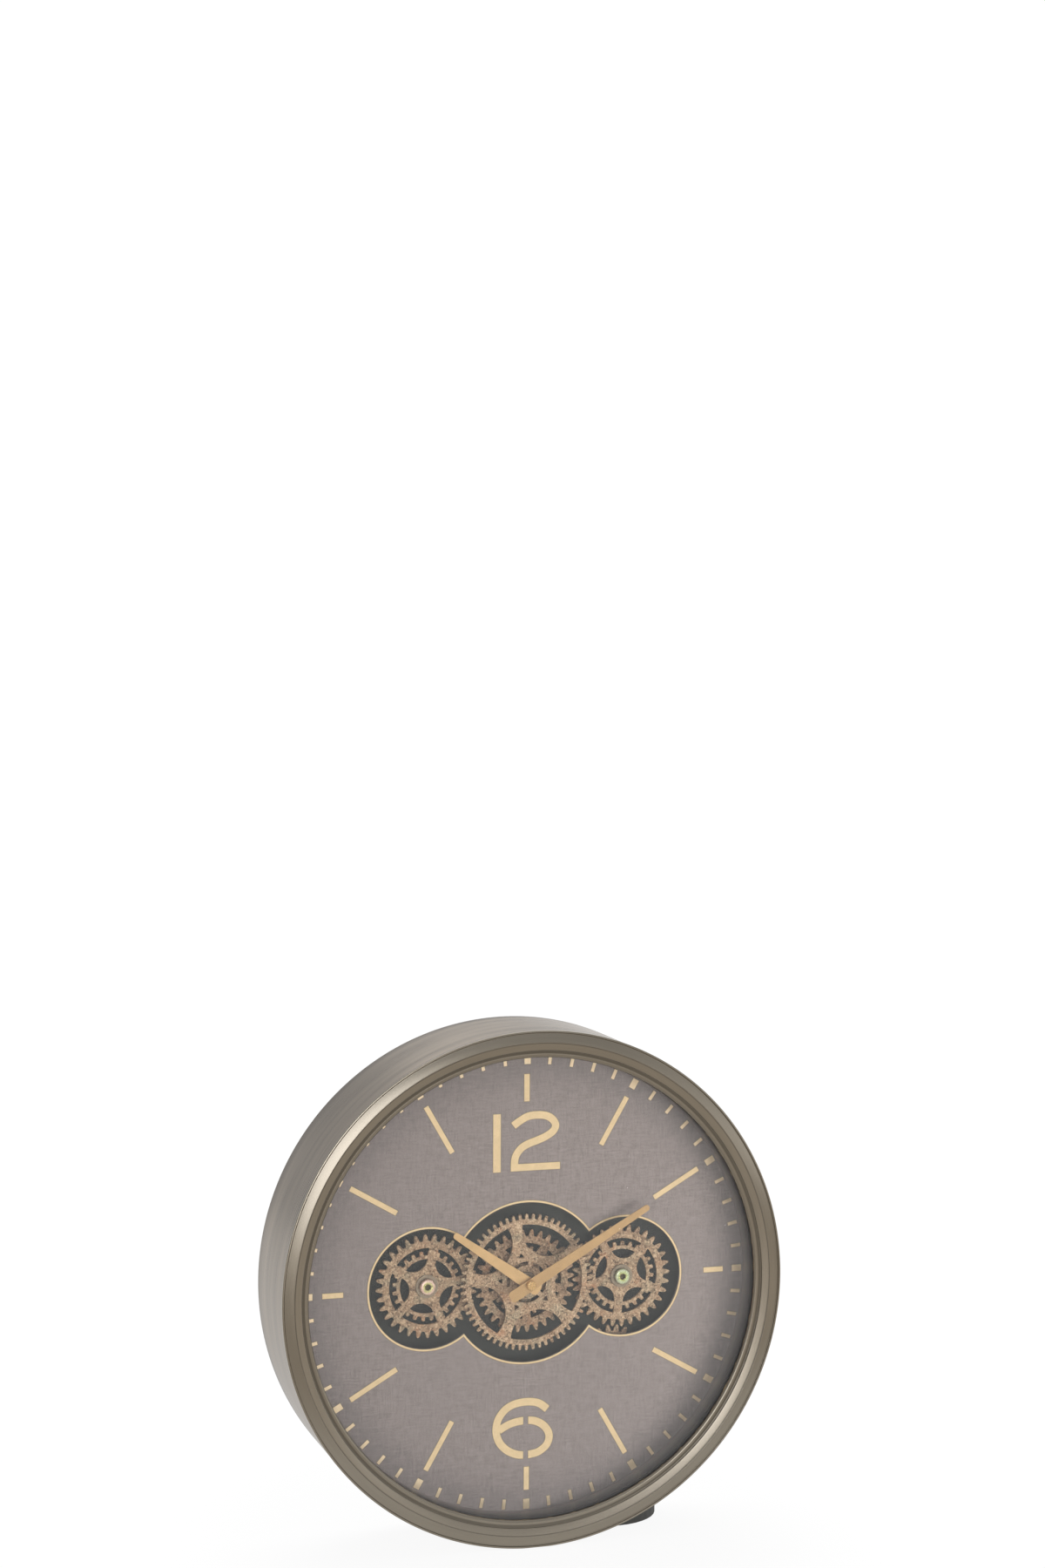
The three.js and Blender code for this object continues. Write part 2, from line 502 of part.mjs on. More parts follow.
// ---------------------------------------------------------------- foot
// Rubber chock under the right-hand side that keeps the round case still.
{
  const cx = 90, cy = 52, r = 48.5, pts = [];
  pts.push([74, 62]);
  pts.push([74, cy - Math.sqrt(r * r - (74 - cx) ** 2)]);
  for (let i = 0; i <= 10; i++) {
    const a = -90 + i * 9.6;
    const x = cx + r * Math.cos(a * D2R), y = cy + r * Math.sin(a * D2R);
    if (x > 80) pts.push([x, y]);
  }
  pts.push([cx + Math.sqrt(r * r - (62 - cy) ** 2), 62]);
  const shape = new THREE.Shape(pts.map(([x, y]) => new THREE.Vector2(x, y)));
  const g = new THREE.ExtrudeGeometry(shape, { depth: 24, bevelEnabled: false });
  g.translate(0, 0, -CASE_R);
  const s = toSolid(g).subtract(toSolid(rod(CASE_R + GAP, -40, 80)));
  add('case_chock', fromSolid(s), M.rubber());
}

const part = new THREE.Group();
part.add(clock);
part.updateMatrixWorld(true);
export default part;
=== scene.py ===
# Looks of the gear clock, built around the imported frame.  Metres, +Z up,
# front faces -Y.  Clock coordinates below are millimetres from the middle of
# the dial's front face: x right, y back, z up.
import math
import bpy
import bmesh
from mathutils import Matrix, Vector


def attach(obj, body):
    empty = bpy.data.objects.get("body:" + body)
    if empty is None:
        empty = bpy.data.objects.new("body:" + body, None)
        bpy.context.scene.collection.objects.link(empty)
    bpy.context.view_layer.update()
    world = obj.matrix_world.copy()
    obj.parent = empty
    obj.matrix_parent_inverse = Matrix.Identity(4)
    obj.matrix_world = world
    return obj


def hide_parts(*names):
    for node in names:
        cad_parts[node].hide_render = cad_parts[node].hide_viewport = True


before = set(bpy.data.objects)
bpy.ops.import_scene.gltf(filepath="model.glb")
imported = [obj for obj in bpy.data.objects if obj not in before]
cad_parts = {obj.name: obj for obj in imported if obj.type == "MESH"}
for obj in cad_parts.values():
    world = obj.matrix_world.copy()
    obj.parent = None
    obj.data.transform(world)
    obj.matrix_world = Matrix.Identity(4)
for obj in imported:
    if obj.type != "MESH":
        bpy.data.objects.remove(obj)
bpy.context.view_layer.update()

DY, DZ = -16.8, 230.0
SC = bpy.context.scene
COLL = SC.collection


def row(x, y, z):
    return Vector((x / 1000, (y + DY) / 1000, (z + DZ) / 1000))


# ------------------------------------------------------------------ camera
cam = bpy.data.cameras.new("camera")
cam_ob = bpy.data.objects.new("camera", cam)
COLL.objects.link(cam_ob)
az, el, roll = math.radians(-17.50), math.radians(3.28), math.radians(0.18)
back = Vector((math.sin(az) * math.cos(el), -math.cos(az) * math.cos(el), math.sin(el)))
right = Vector((math.cos(az), math.sin(az), 0))
up = back.cross(right)
r2 = math.cos(roll) * right + math.sin(roll) * up
u2 = -math.sin(roll) * right + math.cos(roll) * up
m = Matrix((r2, u2, back)).transposed().to_4x4()
m.translation = row(-764.33, -2406.48, 590.01)
cam_ob.matrix_world = m
cam.sensor_fit = "AUTO"
cam.sensor_width = 36
cam.lens = 65.74
cam.clip_start = 0.01
cam.clip_end = 50
SC.camera = cam_ob

SC.view_settings.view_transform = "Standard"
SC.view_settings.look = "None"
SC.view_settings.exposure = 0
SC.view_settings.gamma = 1


# ------------------------------------------------------------------ mesh tools
def weigh(ob):
    """Large faces keep their own shading; the small rounded edges take the turn."""
    md = ob.modifiers.new("w", "WEIGHTED_NORMAL")
    md.mode = "FACE_AREA"
    md.weight = 60
    md.keep_sharp = True
    dg = bpy.context.evaluated_depsgraph_get()
    dg.update()
    me = bpy.data.meshes.new_from_object(ob.evaluated_get(dg), preserve_all_data_layers=True, depsgraph=dg)
    old = ob.data
    ob.modifiers.clear()
    ob.data = me
    name = old.name
    bpy.data.meshes.remove(old)
    me.name = name
    return ob


def finish_mesh(name, me, angle=35, smooth=True, weighted=True):
    bm = bmesh.new()
    bm.from_mesh(me)
    bmesh.ops.remove_doubles(bm, verts=bm.verts, dist=2e-6)
    bmesh.ops.dissolve_degenerate(bm, dist=1e-6, edges=bm.edges)
    bmesh.ops.recalc_face_normals(bm, faces=bm.faces)
    bm.to_mesh(me)
    bm.free()
    if smooth:
        me.polygons.foreach_set("use_smooth", [True] * len(me.polygons))
        me.set_sharp_from_angle(angle=math.radians(angle))
    me.update()
    ob = bpy.data.objects.new(name, me)
    COLL.objects.link(ob)
    return weigh(ob) if weighted and smooth else ob


def from_polys(name, verts, faces, angle=35, smooth=True, weighted=True):
    me = bpy.data.meshes.new(name)
    me.from_pydata([row(*v) for v in verts], [], faces)
    return finish_mesh(name, me, angle, smooth, weighted)


def lathe(name, profile, n=192, cx=0.0, cz=0.0, angle=35, wave=None, weighted=True):
    """Turned closed piece about the Y axis.  profile: (radius, y)."""
    verts, rings = [], []
    for j, (r, y) in enumerate(profile):
        if r == 0:
            rings.append([len(verts)])
            verts.append((cx, y, cz))
        else:
            ring = []
            for i in range(n):
                a = 2 * math.pi * i / n
                rr = r + (wave(j, a) if wave else 0)
                ring.append(len(verts))
                verts.append((cx + rr * math.cos(a), y, cz + rr * math.sin(a)))
            rings.append(ring)
    pairs = list(zip(range(len(rings) - 1), range(1, len(rings))))
    if profile[0][0] > 0:
        pairs.append((len(rings) - 1, 0))
    faces = []
    for p, q in pairs:
        a, b = rings[p], rings[q]
        for i in range(n):
            k = (i + 1) % n
            if len(a) == 1 and len(b) == 1:
                continue
            if len(a) == 1:
                faces.append((a[0], b[i], b[k]))
            elif len(b) == 1:
                faces.append((a[i], b[0], a[k]))
            else:
                faces.append((a[i], b[i], b[k], a[k]))
    return from_polys(name, verts, faces, angle, True, weighted)


def fillet(points, r, steps=4):
    """Rounds the corners of a closed profile of (a, b) points."""
    out = []
    n = len(points)
    for i in range(n):
        p0, p1, p2 = (Vector(points[(i + d) % n]) for d in (-1, 0, 1))
        v0, v1 = p0 - p1, p2 - p1
        rad = r[i] if isinstance(r, (list, tuple)) else r
        cut = min(rad, v0.length * 0.45, v1.length * 0.45)
        if cut < 1e-4:
            out.append(tuple(p1))
            continue
        a = p1 + v0.normalized() * cut
        b = p1 + v1.normalized() * cut
        for s in range(steps + 1):
            t = s / steps
            out.append(tuple(a.lerp(p1, t).lerp(p1.lerp(b, t), t)))
    return out


def flat(name, loops, y0, y1, bevel=0.0, res=1, grow=0.0, angle=40):
    """Flat piece from closed outlines (x, z) in mm; inner outlines are holes."""
    cu = bpy.data.curves.new(name + ".c", "CURVE")
    cu.dimensions = "2D"
    cu.fill_mode = "BOTH"
    for pts in loops:
        sp = cu.splines.new("POLY")
        sp.points.add(len(pts) - 1)
        sp.points.foreach_set("co", [v for p in pts for v in (p[0], p[1], 0.0, 1.0)])
        sp.use_cyclic_u = True
    t = y1 - y0
    b = min(bevel, t * 0.49)
    cu.extrude = t / 2 - b
    cu.bevel_depth = b
    cu.bevel_resolution = res
    cu.offset = grow - b
    tmp = bpy.data.objects.new(name + ".t", cu)
    COLL.objects.link(tmp)
    dg = bpy.context.evaluated_depsgraph_get()
    dg.update()
    me = bpy.data.meshes.new_from_object(tmp.evaluated_get(dg))
    bpy.data.objects.remove(tmp)
    bpy.data.curves.remove(cu)
    me.name = name
    me.materials.clear()
    # local (a, b, c) in mm -> clock (a, mid - c, b)
    ym = (y0 + y1) / 2
    mt = Matrix(((0.001, 0, 0, 0), (0, 0, -0.001, (ym + DY) / 1000), (0, 0.001, 0, DZ / 1000), (0, 0, 0, 1)))
    me.transform(mt)
    return finish_mesh(name, me, angle)


def join(name, obs):
    base = obs[0]
    bm = bmesh.new()
    for o in obs:
        bm.from_mesh(o.data)
    me = bpy.data.meshes.new(name)
    bm.to_mesh(me)
    bm.free()
    for o in obs:
        old = o.data
        bpy.data.objects.remove(o)
        bpy.data.meshes.remove(old)
    me.polygons.foreach_set("use_smooth", [True] * len(me.polygons))
    me.set_sharp_from_angle(angle=math.radians(35))
    ob = bpy.data.objects.new(name, me)
    COLL.objects.link(ob)
    return weigh(ob)


def soften(ob, width, segments=2, angle=30):
    """Bevels the edges of a plain mesh and applies the result."""
    me = ob.data
    bm = bmesh.new()
    bm.from_mesh(me)
    edges = [e for e in bm.edges if len(e.link_faces) == 2 and e.calc_face_angle(0) > math.radians(angle)]
    bmesh.ops.bevel(bm, geom=edges, offset=width / 1000, segments=segments, profile=0.5, affect="EDGES", clamp_overlap=True)
    bm.to_mesh(me)
    bm.free()
    me.polygons.foreach_set("use_smooth", [True] * len(me.polygons))
    me.set_sharp_from_angle(angle=math.radians(60))
    return weigh(ob)


def at(r, deg, cx=0.0, cz=0.0):
    return (cx + r * math.cos(math.radians(deg)), cz + r * math.sin(math.radians(deg)))


def circle(r, cx=0.0, cz=0.0, n=48):
    return [at(r, 360 * i / n, cx, cz) for i in range(n)]


# ------------------------------------------------------------------ materials
class Mat:
    """Small helper round a node tree."""

    def __init__(self, name):
        self.m = bpy.data.materials.new(name)
        self.m.use_nodes = True
        self.t = self.m.node_tree
        self.t.nodes.clear()
        self.out = self.t.nodes.new("ShaderNodeOutputMaterial")
        self.b = self.t.nodes.new("ShaderNodeBsdfPrincipled")
        self.t.links.new(self.b.outputs[0], self.out.inputs[0])
        self.tc = self.t.nodes.new("ShaderNodeTexCoord")

    def n(self, kind, **kw):
        nd = self.t.nodes.new(kind)
        for k, v in kw.items():
            setattr(nd, k, v)
        return nd

    def link(self, a, b):
        self.t.links.new(a, b)

    def set(self, **kw):
        for k, v in kw.items():
            self.b.inputs[k.replace("_", " ")].default_value = v

    def math(self, op, a, b=None, c=None, clamp=False):
        nd = self.n("ShaderNodeMath", operation=op, use_clamp=clamp)
        for i, v in enumerate((a, b, c)):
            if v is None:
                continue
            if isinstance(v, (int, float)):
                nd.inputs[i].default_value = v
            else:
                self.link(v, nd.inputs[i])
        return nd.outputs[0]

    def noise(self, vec, scale, detail=3, rough=0.55, dist=0.0):
        nd = self.n("ShaderNodeTexNoise")
        self.link(vec, nd.inputs["Vector"])
        nd.inputs["Scale"].default_value = scale
        nd.inputs["Detail"].default_value = detail
        nd.inputs["Roughness"].default_value = rough
        nd.inputs["Distortion"].default_value = dist
        return nd.outputs[0]

    def mapping(self, vec, scale=(1, 1, 1), rot=(0, 0, 0), loc=(0, 0, 0)):
        nd = self.n("ShaderNodeMapping")
        self.link(vec, nd.inputs["Vector"])
        nd.inputs["Scale"].default_value = scale
        nd.inputs["Rotation"].default_value = rot
        nd.inputs["Location"].default_value = loc
        return nd.outputs[0]

    def remap(self, v, a, b, c, d, smooth=False):
        nd = self.n("ShaderNodeMapRange")
        if smooth:
            nd.interpolation_type = "SMOOTHSTEP"
        self.link(v, nd.inputs[0])
        for i, x in enumerate((a, b, c, d)):
            nd.inputs[i + 1].default_value = x
        return nd.outputs[0]

    def ramp(self, v, stops):
        nd = self.n("ShaderNodeValToRGB")
        cr = nd.color_ramp
        while len(cr.elements) < len(stops):
            cr.elements.new(0.5)
        for e, (p, c) in zip(cr.elements, stops):
            e.position = p
            e.color = (*c, 1)
        self.link(v, nd.inputs[0])
        return nd.outputs[0]

    def mix(self, f, a, b, mode="MIX"):
        nd = self.n("ShaderNodeMix", data_type="RGBA", blend_type=mode)
        for s, v in ((nd.inputs[0], f), (nd.inputs[6], a), (nd.inputs[7], b)):
            if isinstance(v, (int, float)):
                s.default_value = v
            elif isinstance(v, tuple):
                s.default_value = (*v, 1) if len(v) == 3 else v
            else:
                self.link(v, s)
        return nd.outputs[2]

    def bump(self, h, strength, dist, prev=None):
        nd = self.n("ShaderNodeBump")
        nd.inputs["Strength"].default_value = strength
        nd.inputs["Distance"].default_value = dist
        self.link(h, nd.inputs["Height"])
        if prev is not None:
            self.link(prev, nd.inputs["Normal"])
        return nd.outputs[0]

    def color(self, v):
        self.link(v, self.b.inputs["Base Color"])

    def rough(self, v):
        self.link(v, self.b.inputs["Roughness"])

    def normal(self, v):
        self.link(v, self.b.inputs["Normal"])


def lin(r, g, b):
    f = lambda c: (c / 255) / 12.92 if c / 255 <= 0.04045 else ((c / 255 + 0.055) / 1.055) ** 2.4
    return (f(r), f(g), f(b))


def around(M, cx=0.0, cz=DZ / 1000, size=0.5):
    """Coordinates that run with the turning marks: nearly constant along the
    circumference, fast across it.  Returns (vector, radius)."""
    o = M.tc.outputs["Object"]
    sep = M.n("ShaderNodeSeparateXYZ")
    M.link(o, sep.inputs[0])
    x = M.math("SUBTRACT", sep.outputs[0], cx)
    z = M.math("SUBTRACT", sep.outputs[2], cz)
    r = M.math("SQRT", M.math("ADD", M.math("MULTIPLY", x, x), M.math("MULTIPLY", z, z)))
    inv = M.math("DIVIDE", size, M.math("MAXIMUM", r, 1e-4))
    v = M.math("ADD", M.math("MULTIPLY", r, 1.0), M.math("MULTIPLY", sep.outputs[1], 0.83))
    comb = M.n("ShaderNodeCombineXYZ")
    M.link(M.math("MULTIPLY", x, inv), comb.inputs[0])
    M.link(M.math("MULTIPLY", v, 900.0), comb.inputs[1])
    M.link(M.math("MULTIPLY", z, inv), comb.inputs[2])
    return comb.outputs[0], r


def brushed(name, base, rough=0.34, spread=0.10, var=0.18, size=2.2, metallic=1.0, bump=0.06, streak=0.0, across=0.0, painted_tone_bands=(), rim=None):
    """Turned and brushed metal whose marks run round the clock's axis.  Each
    band (radius, half width, factor) multiplies the colour: below 1 it is
    painted shade in a groove or the cove, above 1 it lightens the band.  The
    rim (y from, y to, factor) darkens the colour towards the rear edge as
    painted shade."""
    M = Mat(name)
    vec, r = around(M, size=size)
    fine = M.noise(vec, 1.0, 4, 0.62)
    wide = M.noise(M.mapping(vec, (0.5, 0.10, 0.5)), 1.0, 4, 0.6)
    broad = M.noise(M.mapping(vec, (0.35, 0.022, 0.35), loc=(2.3, 1.1, 0.7)), 1.0, 3, 0.55)
    cloud = M.noise(M.tc.outputs["Object"], 16.0, 3, 0.55)
    f = M.math("ADD", M.math("MULTIPLY", fine, 0.40), M.math("ADD", M.math("MULTIPLY", wide, 0.40), M.math("MULTIPLY", cloud, 0.20)))
    lo = tuple(c * (1 - var) for c in base)
    hi = tuple(min(1, c * (1 + var)) for c in base)
    col = M.ramp(f, [(0.32, lo), (0.50, base), (0.68, hi)])
    if streak:
        g = M.math("ADD", M.math("MULTIPLY", wide, 0.5), M.math("MULTIPLY", broad, 0.5))
        k = M.remap(g, 0.34, 0.66, 1 - streak, 1 + streak)
        comb = M.n("ShaderNodeCombineXYZ")
        for i in range(3):
            M.link(k, comb.inputs[i])
        col = M.mix(1.0, col, comb.outputs[0], "MULTIPLY")
    # painted shade: the colour darkens towards the rear rim
    if rim:
        sep = M.n("ShaderNodeSeparateXYZ")
        M.link(M.tc.outputs["Object"], sep.inputs[0])
        k = M.remap(sep.outputs[1], (DY + rim[0]) / 1000, (DY + rim[1]) / 1000, 1.0, rim[2], True)
        comb = M.n("ShaderNodeCombineXYZ")
        for i in range(3):
            M.link(k, comb.inputs[i])
        col = M.mix(1.0, col, comb.outputs[0], "MULTIPLY")
    # painted shade: each band with a factor below 1 darkens the colour in a groove or the cove; a factor above 1
    # lightens the band
    for rc, half, depth in painted_tone_bands:
        d = M.math("ABSOLUTE", M.math("SUBTRACT", r, rc / 1000))
        k = M.remap(d, half * 0.45 / 1000, half / 1000, depth, 1.0, True)
        comb = M.n("ShaderNodeCombineXYZ")
        for i in range(3):
            M.link(k, comb.inputs[i])
        col = M.mix(1.0, col, comb.outputs[0], "MULTIPLY")
    M.color(col)
    M.rough(M.remap(f, 0.3, 0.7, rough - spread, rough + spread))
    M.set(Metallic=metallic)
    h = fine
    if across:
        o = M.tc.outputs["Object"]
        grit = M.noise(o, 1500.0, 2, 0.5)
        h = M.math("ADD", fine, M.math("MULTIPLY", grit, across))
    M.normal(M.bump(h, bump, 0.0002))
    return M.m


def speckled(name, base, warm, cool, dark, light, rough=0.62, metallic=0.15, bump=0.2):
    """Aged copper finish: fine grain, warm and grey-green clouds, dark pits and
    pale rubbed spots."""
    M = Mat(name)
    o = M.tc.outputs["Object"]
    hue = M.noise(o, 62, 4, 0.6, 0.3)
    hue2 = M.noise(M.mapping(o, loc=(0.31, 0.17, 0.53)), 150, 4, 0.6, 0.2)
    grain = M.noise(M.mapping(o, loc=(0.71, 0.37, 0.13)), 650, 4, 0.66)
    pits = M.noise(M.mapping(o, loc=(0.13, 0.61, 0.29)), 520, 4, 0.6)
    worn = M.noise(M.mapping(o, loc=(0.43, 0.81, 0.07)), 95, 4, 0.6, 0.4)
    col = M.ramp(hue, [(0.36, cool), (0.48, base), (0.56, base), (0.68, warm)])
    col = M.mix(M.remap(hue2, 0.52, 0.66, 0.0, 0.55, True), col, light)
    col = M.mix(M.remap(worn, 0.50, 0.64, 0.0, 0.42, True), col, dark)
    col = M.mix(M.remap(grain, 0.50, 0.62, 0.0, 0.80, True), col, light)
    col = M.mix(M.remap(pits, 0.52, 0.64, 0.0, 0.80, True), col, dark)
    M.color(col)
    M.rough(M.remap(grain, 0.35, 0.65, rough + 0.10, rough - 0.14))
    M.set(Metallic=metallic)
    M.normal(M.bump(M.math("ADD", grain, M.math("MULTIPLY", pits, -0.8)), bump, 0.0003))
    return M.m


def painted(name, base, rough=0.5, metallic=0.0, var=0.08, scale=90, grain=900, bump=0.05, spec=0.5, coat=0.0):
    M = Mat(name)
    o = M.tc.outputs["Object"]
    a = M.noise(o, scale, 4, 0.55)
    g = M.noise(o, grain, 2, 0.5)
    lo = tuple(c * (1 - var) for c in base)
    hi = tuple(min(1, c * (1 + var)) for c in base)
    M.color(M.ramp(a, [(0.3, lo), (0.5, base), (0.7, hi)]))
    M.rough(M.remap(g, 0.3, 0.7, max(0.02, rough - 0.06), min(1, rough + 0.06)))
    M.set(Metallic=metallic, Specular_IOR_Level=spec, Coat_Weight=coat)
    M.normal(M.bump(g, bump, 0.0001))
    return M.m


def linen(name, base, rough=0.85):
    """Printed linen: crossing threads with slubs, seen as faint lines."""
    M = Mat(name)
    o = M.tc.outputs["Object"]
    hor = M.noise(M.mapping(o, (105, 105, 1100)), 1.0, 2, 0.5)
    ver = M.noise(M.mapping(o, (1100, 105, 105), loc=(3.1, 0, 1.7)), 1.0, 2, 0.5)
    hor2 = M.noise(M.mapping(o, (30, 30, 560)), 1.0, 2, 0.5)
    ver2 = M.noise(M.mapping(o, (560, 30, 30), loc=(1.1, 0, 4.7)), 1.0, 2, 0.5)
    tone = M.noise(o, 5.0, 2, 0.5)
    f = M.math("ADD", M.math("MULTIPLY", M.math("ADD", hor, ver), 0.46), M.math("MULTIPLY", M.math("ADD", hor2, ver2), 0.04))
    lo = tuple(c * 0.81 for c in base)
    hi = tuple(c * 1.19 for c in base)
    col = M.ramp(f, [(0.37, lo), (0.50, base), (0.63, hi)])
    col = M.mix(M.remap(tone, 0.35, 0.65, 0.0, 0.30, True), col, tuple(c * k for c, k in zip(base, (0.93, 0.95, 0.97))))
    # painted shade: the colour darkens towards the dial's edge, where the bezel and the wall shade it
    sep = M.n("ShaderNodeSeparateXYZ")
    M.link(o, sep.inputs[0])
    z = M.math("SUBTRACT", sep.outputs[2], DZ / 1000)
    r = M.math("SQRT", M.math("ADD", M.math("MULTIPLY", sep.outputs[0], sep.outputs[0]), M.math("MULTIPLY", z, z)))
    M.color(M.mix(M.remap(r, 0.165, 0.206, 0.0, 1.0, True), col, (0.80, 0.81, 0.82), "MULTIPLY"))
    M.set(Roughness=rough, Specular_IOR_Level=0.3, Sheen_Weight=0.05)
    M.normal(M.bump(f, 0.3, 0.0002))
    return M.m


def passivated(name, cx, cz, rim, mid, core):
    """Zinc plate with its thin coloured film: the tint turns towards the middle."""
    M = Mat(name)
    o = M.tc.outputs["Object"]
    sep = M.n("ShaderNodeSeparateXYZ")
    M.link(o, sep.inputs[0])
    x = M.math("SUBTRACT", sep.outputs[0], cx / 1000)
    z = M.math("SUBTRACT", sep.outputs[2], cz / 1000 + DZ / 1000)
    r = M.math("SQRT", M.math("ADD", M.math("MULTIPLY", x, x), M.math("MULTIPLY", z, z)))
    w = M.noise(o, 260, 3, 0.5)
    t = M.math("ADD", M.remap(r, 0.0018, 0.0070, 0.0, 1.0), M.math("MULTIPLY", M.math("SUBTRACT", w, 0.5), 0.5))
    M.color(M.ramp(t, [(0.10, core), (0.42, mid), (0.72, rim)]))
    M.rough(M.remap(w, 0.3, 0.7, 0.22, 0.36))
    M.set(Metallic=0.75)
    M.normal(M.bump(M.noise(o, 1400, 2, 0.5), 0.05, 0.0001))
    return M.m


def inner(name, low, high, rough=0.5):
    """Matt inside of the case, darker towards the glass: painted shade where the bezel shades the wall."""
    M = Mat(name)
    o = M.tc.outputs["Object"]
    sep = M.n("ShaderNodeSeparateXYZ")
    M.link(o, sep.inputs[0])
    t = M.remap(sep.outputs[1], (DY - 1.0) / 1000, (DY - 19.0) / 1000, 0.0, 1.0, True)
    g = M.noise(o, 700, 3, 0.6)
    w = M.noise(o, 40, 3, 0.5)
    t = M.math("ADD", t, M.math("MULTIPLY", M.math("SUBTRACT", M.math("ADD", g, w), 1.0), 0.10))
    mid = tuple(0.55 * a + 0.30 * b for a, b in zip(low, high))
    M.color(M.ramp(t, [(0.0, low), (0.5, mid), (1.0, high)]))
    M.rough(M.remap(g, 0.3, 0.7, rough - 0.05, rough + 0.05))
    M.set(Specular_IOR_Level=0.35)
    M.normal(M.bump(g, 0.15, 0.0001))
    return M.m


pewter = (0.285, 0.240, 0.194)
MAT = {
    # the drum's rim entry is painted shade at its rear edge
    "case": brushed("case_brushed", pewter, rough=0.29, spread=0.05, var=0.12, size=2.0, bump=0.05, streak=0.28, rim=(48.0, 65.0, 0.64)),
    # the bezel's bands below 1 are painted shade in its grooves and cove; the band at 216.0 is made lighter
    "bezel": brushed("bezel_brushed", (0.274, 0.243, 0.197), rough=0.25, spread=0.02, var=0.07, size=4.5, bump=0.015, across=0.5,
                     painted_tone_bands=((228.35, 0.45, 0.75), (219.3, 0.5, 0.66), (216.0, 3.6, 1.10), (211.25, 1.7, 0.56), (207.1, 0.5, 0.8))),
    "dial": linen("dial_linen", (0.281, 0.238, 0.223)),
    # the inner wall's darkening towards the glass is painted shade
    "wall": inner("wall_matt_painted_shade", (0.215, 0.184, 0.171), (0.036, 0.030, 0.027)),
    "gold": painted("print_gold", lin(236, 210, 163), rough=0.40, metallic=0.55, var=0.05, scale=200, bump=0.03),
    "gold_foil": painted("print_foil", lin(246, 224, 186), rough=0.35, metallic=0.85, var=0.03, scale=200, bump=0.0),
    "gold_edge": painted("print_edge", lin(120, 104, 82), rough=0.6, var=0.10, scale=200),
    "hand": painted("hand_gold", lin(197, 161, 112), rough=0.40, metallic=0.45, var=0.07, scale=120, bump=0.03),
    "hand_hour": painted("hand_gold_pale", lin(217, 180, 127), rough=0.40, metallic=0.45, var=0.07, scale=120, bump=0.03),
    "nut": painted("nut_gold", lin(214, 176, 118), rough=0.30, metallic=0.7, var=0.06, scale=400),
    "gear": speckled("gear_rust", lin(172, 142, 111), lin(177, 132, 96), lin(154, 138, 111), lin(84, 64, 47), lin(228, 200, 164)),
    # the side wheels and the wheels behind take darker copies of the front gear's colours: painted shade behind the
    # dial and behind the front gear
    "gear_painted_shade": speckled("gear_rust_painted_shade", lin(164, 134, 104), lin(171, 125, 90), lin(146, 130, 104), lin(80, 61, 45), lin(218, 190, 154)),
    "gear_painted_deep_shade": speckled("gear_rust_painted_deep_shade", lin(152, 123, 95), lin(162, 118, 84), lin(134, 119, 95), lin(74, 56, 41), lin(204, 174, 140)),
    "panel": painted("panel_dark", (0.037, 0.040, 0.035), rough=0.7, var=0.03, scale=60, bump=0.0, spec=0.35),
    "black": painted("black_rubber", (0.012, 0.012, 0.012), rough=0.6, var=0.2),
    "chock": painted("chock_rubber", lin(58, 58, 56), rough=0.75, var=0.15, scale=120, grain=1600, bump=0.2),
    "steel": painted("plain_steel", (0.42, 0.42, 0.41), rough=0.32, metallic=1.0, var=0.10, scale=120, grain=1500),
    "zinc_warm": passivated("zinc_warm", -91.2, 1.2, lin(246, 212, 194), lin(224, 216, 156), lin(160, 160, 92)),
    "zinc_green": passivated("zinc_green", 91.2, -1.2, lin(212, 220, 184), lin(208, 224, 162), lin(182, 170, 92)),
    "recess": painted("recess_dark", lin(82, 72, 40), rough=0.5, metallic=0.5, var=0.2, scale=400),
    "washer": painted("washer_dark", lin(152, 138, 118), rough=0.42, metallic=0.6, var=0.18, scale=240),
    "brass": painted("brass_plain", lin(190, 160, 100), rough=0.35, metallic=1.0, var=0.10, scale=200),
    "plastic": painted("black_plastic", (0.018, 0.018, 0.019), rough=0.45, var=0.1, scale=60, grain=2400, bump=0.12),
    "knob": painted("knob_plastic", (0.022, 0.022, 0.023), rough=0.55, var=0.1, grain=1800, bump=0.1),
    "cell": painted("cell_jacket", lin(108, 122, 134), rough=0.35, metallic=0.2, var=0.05),
    "lead": painted("lead_red", lin(140, 26, 20), rough=0.4, var=0.08),
}


def board(name, base):
    M = Mat(name)
    o = M.tc.outputs["Object"]
    fib = M.noise(M.mapping(o, (1.6, 1, 0.5)), 420, 6, 0.72, 1.2)
    mesh = M.noise(M.mapping(o, (0.5, 1, 1.6), loc=(0.3, 0.9, 0.2)), 420, 6, 0.72, 1.2)
    big = M.noise(o, 12, 5, 0.65)
    fleck = M.noise(M.mapping(o, loc=(0.7, 0.2, 0.4)), 260, 3, 0.6)
    mixv = M.math("ADD", M.math("MULTIPLY", M.math("ADD", fib, mesh), 0.32), M.math("MULTIPLY", big, 0.36))
    col = M.ramp(mixv, [(0.38, tuple(c * 0.62 for c in base)), (0.5, base), (0.62, tuple(c * 1.5 for c in base))])
    M.color(M.mix(M.remap(fleck, 0.60, 0.68, 0.0, 0.55, True), col, tuple(c * 1.9 for c in base)))
    M.rough(M.remap(fib, 0.3, 0.7, 0.9, 0.7))
    M.set(Specular_IOR_Level=0.3)
    M.normal(M.bump(M.math("ADD", fib, mesh), 0.25, 0.0003))
    return M.m


MAT["board"] = board("rear_board", lin(84, 76, 67))


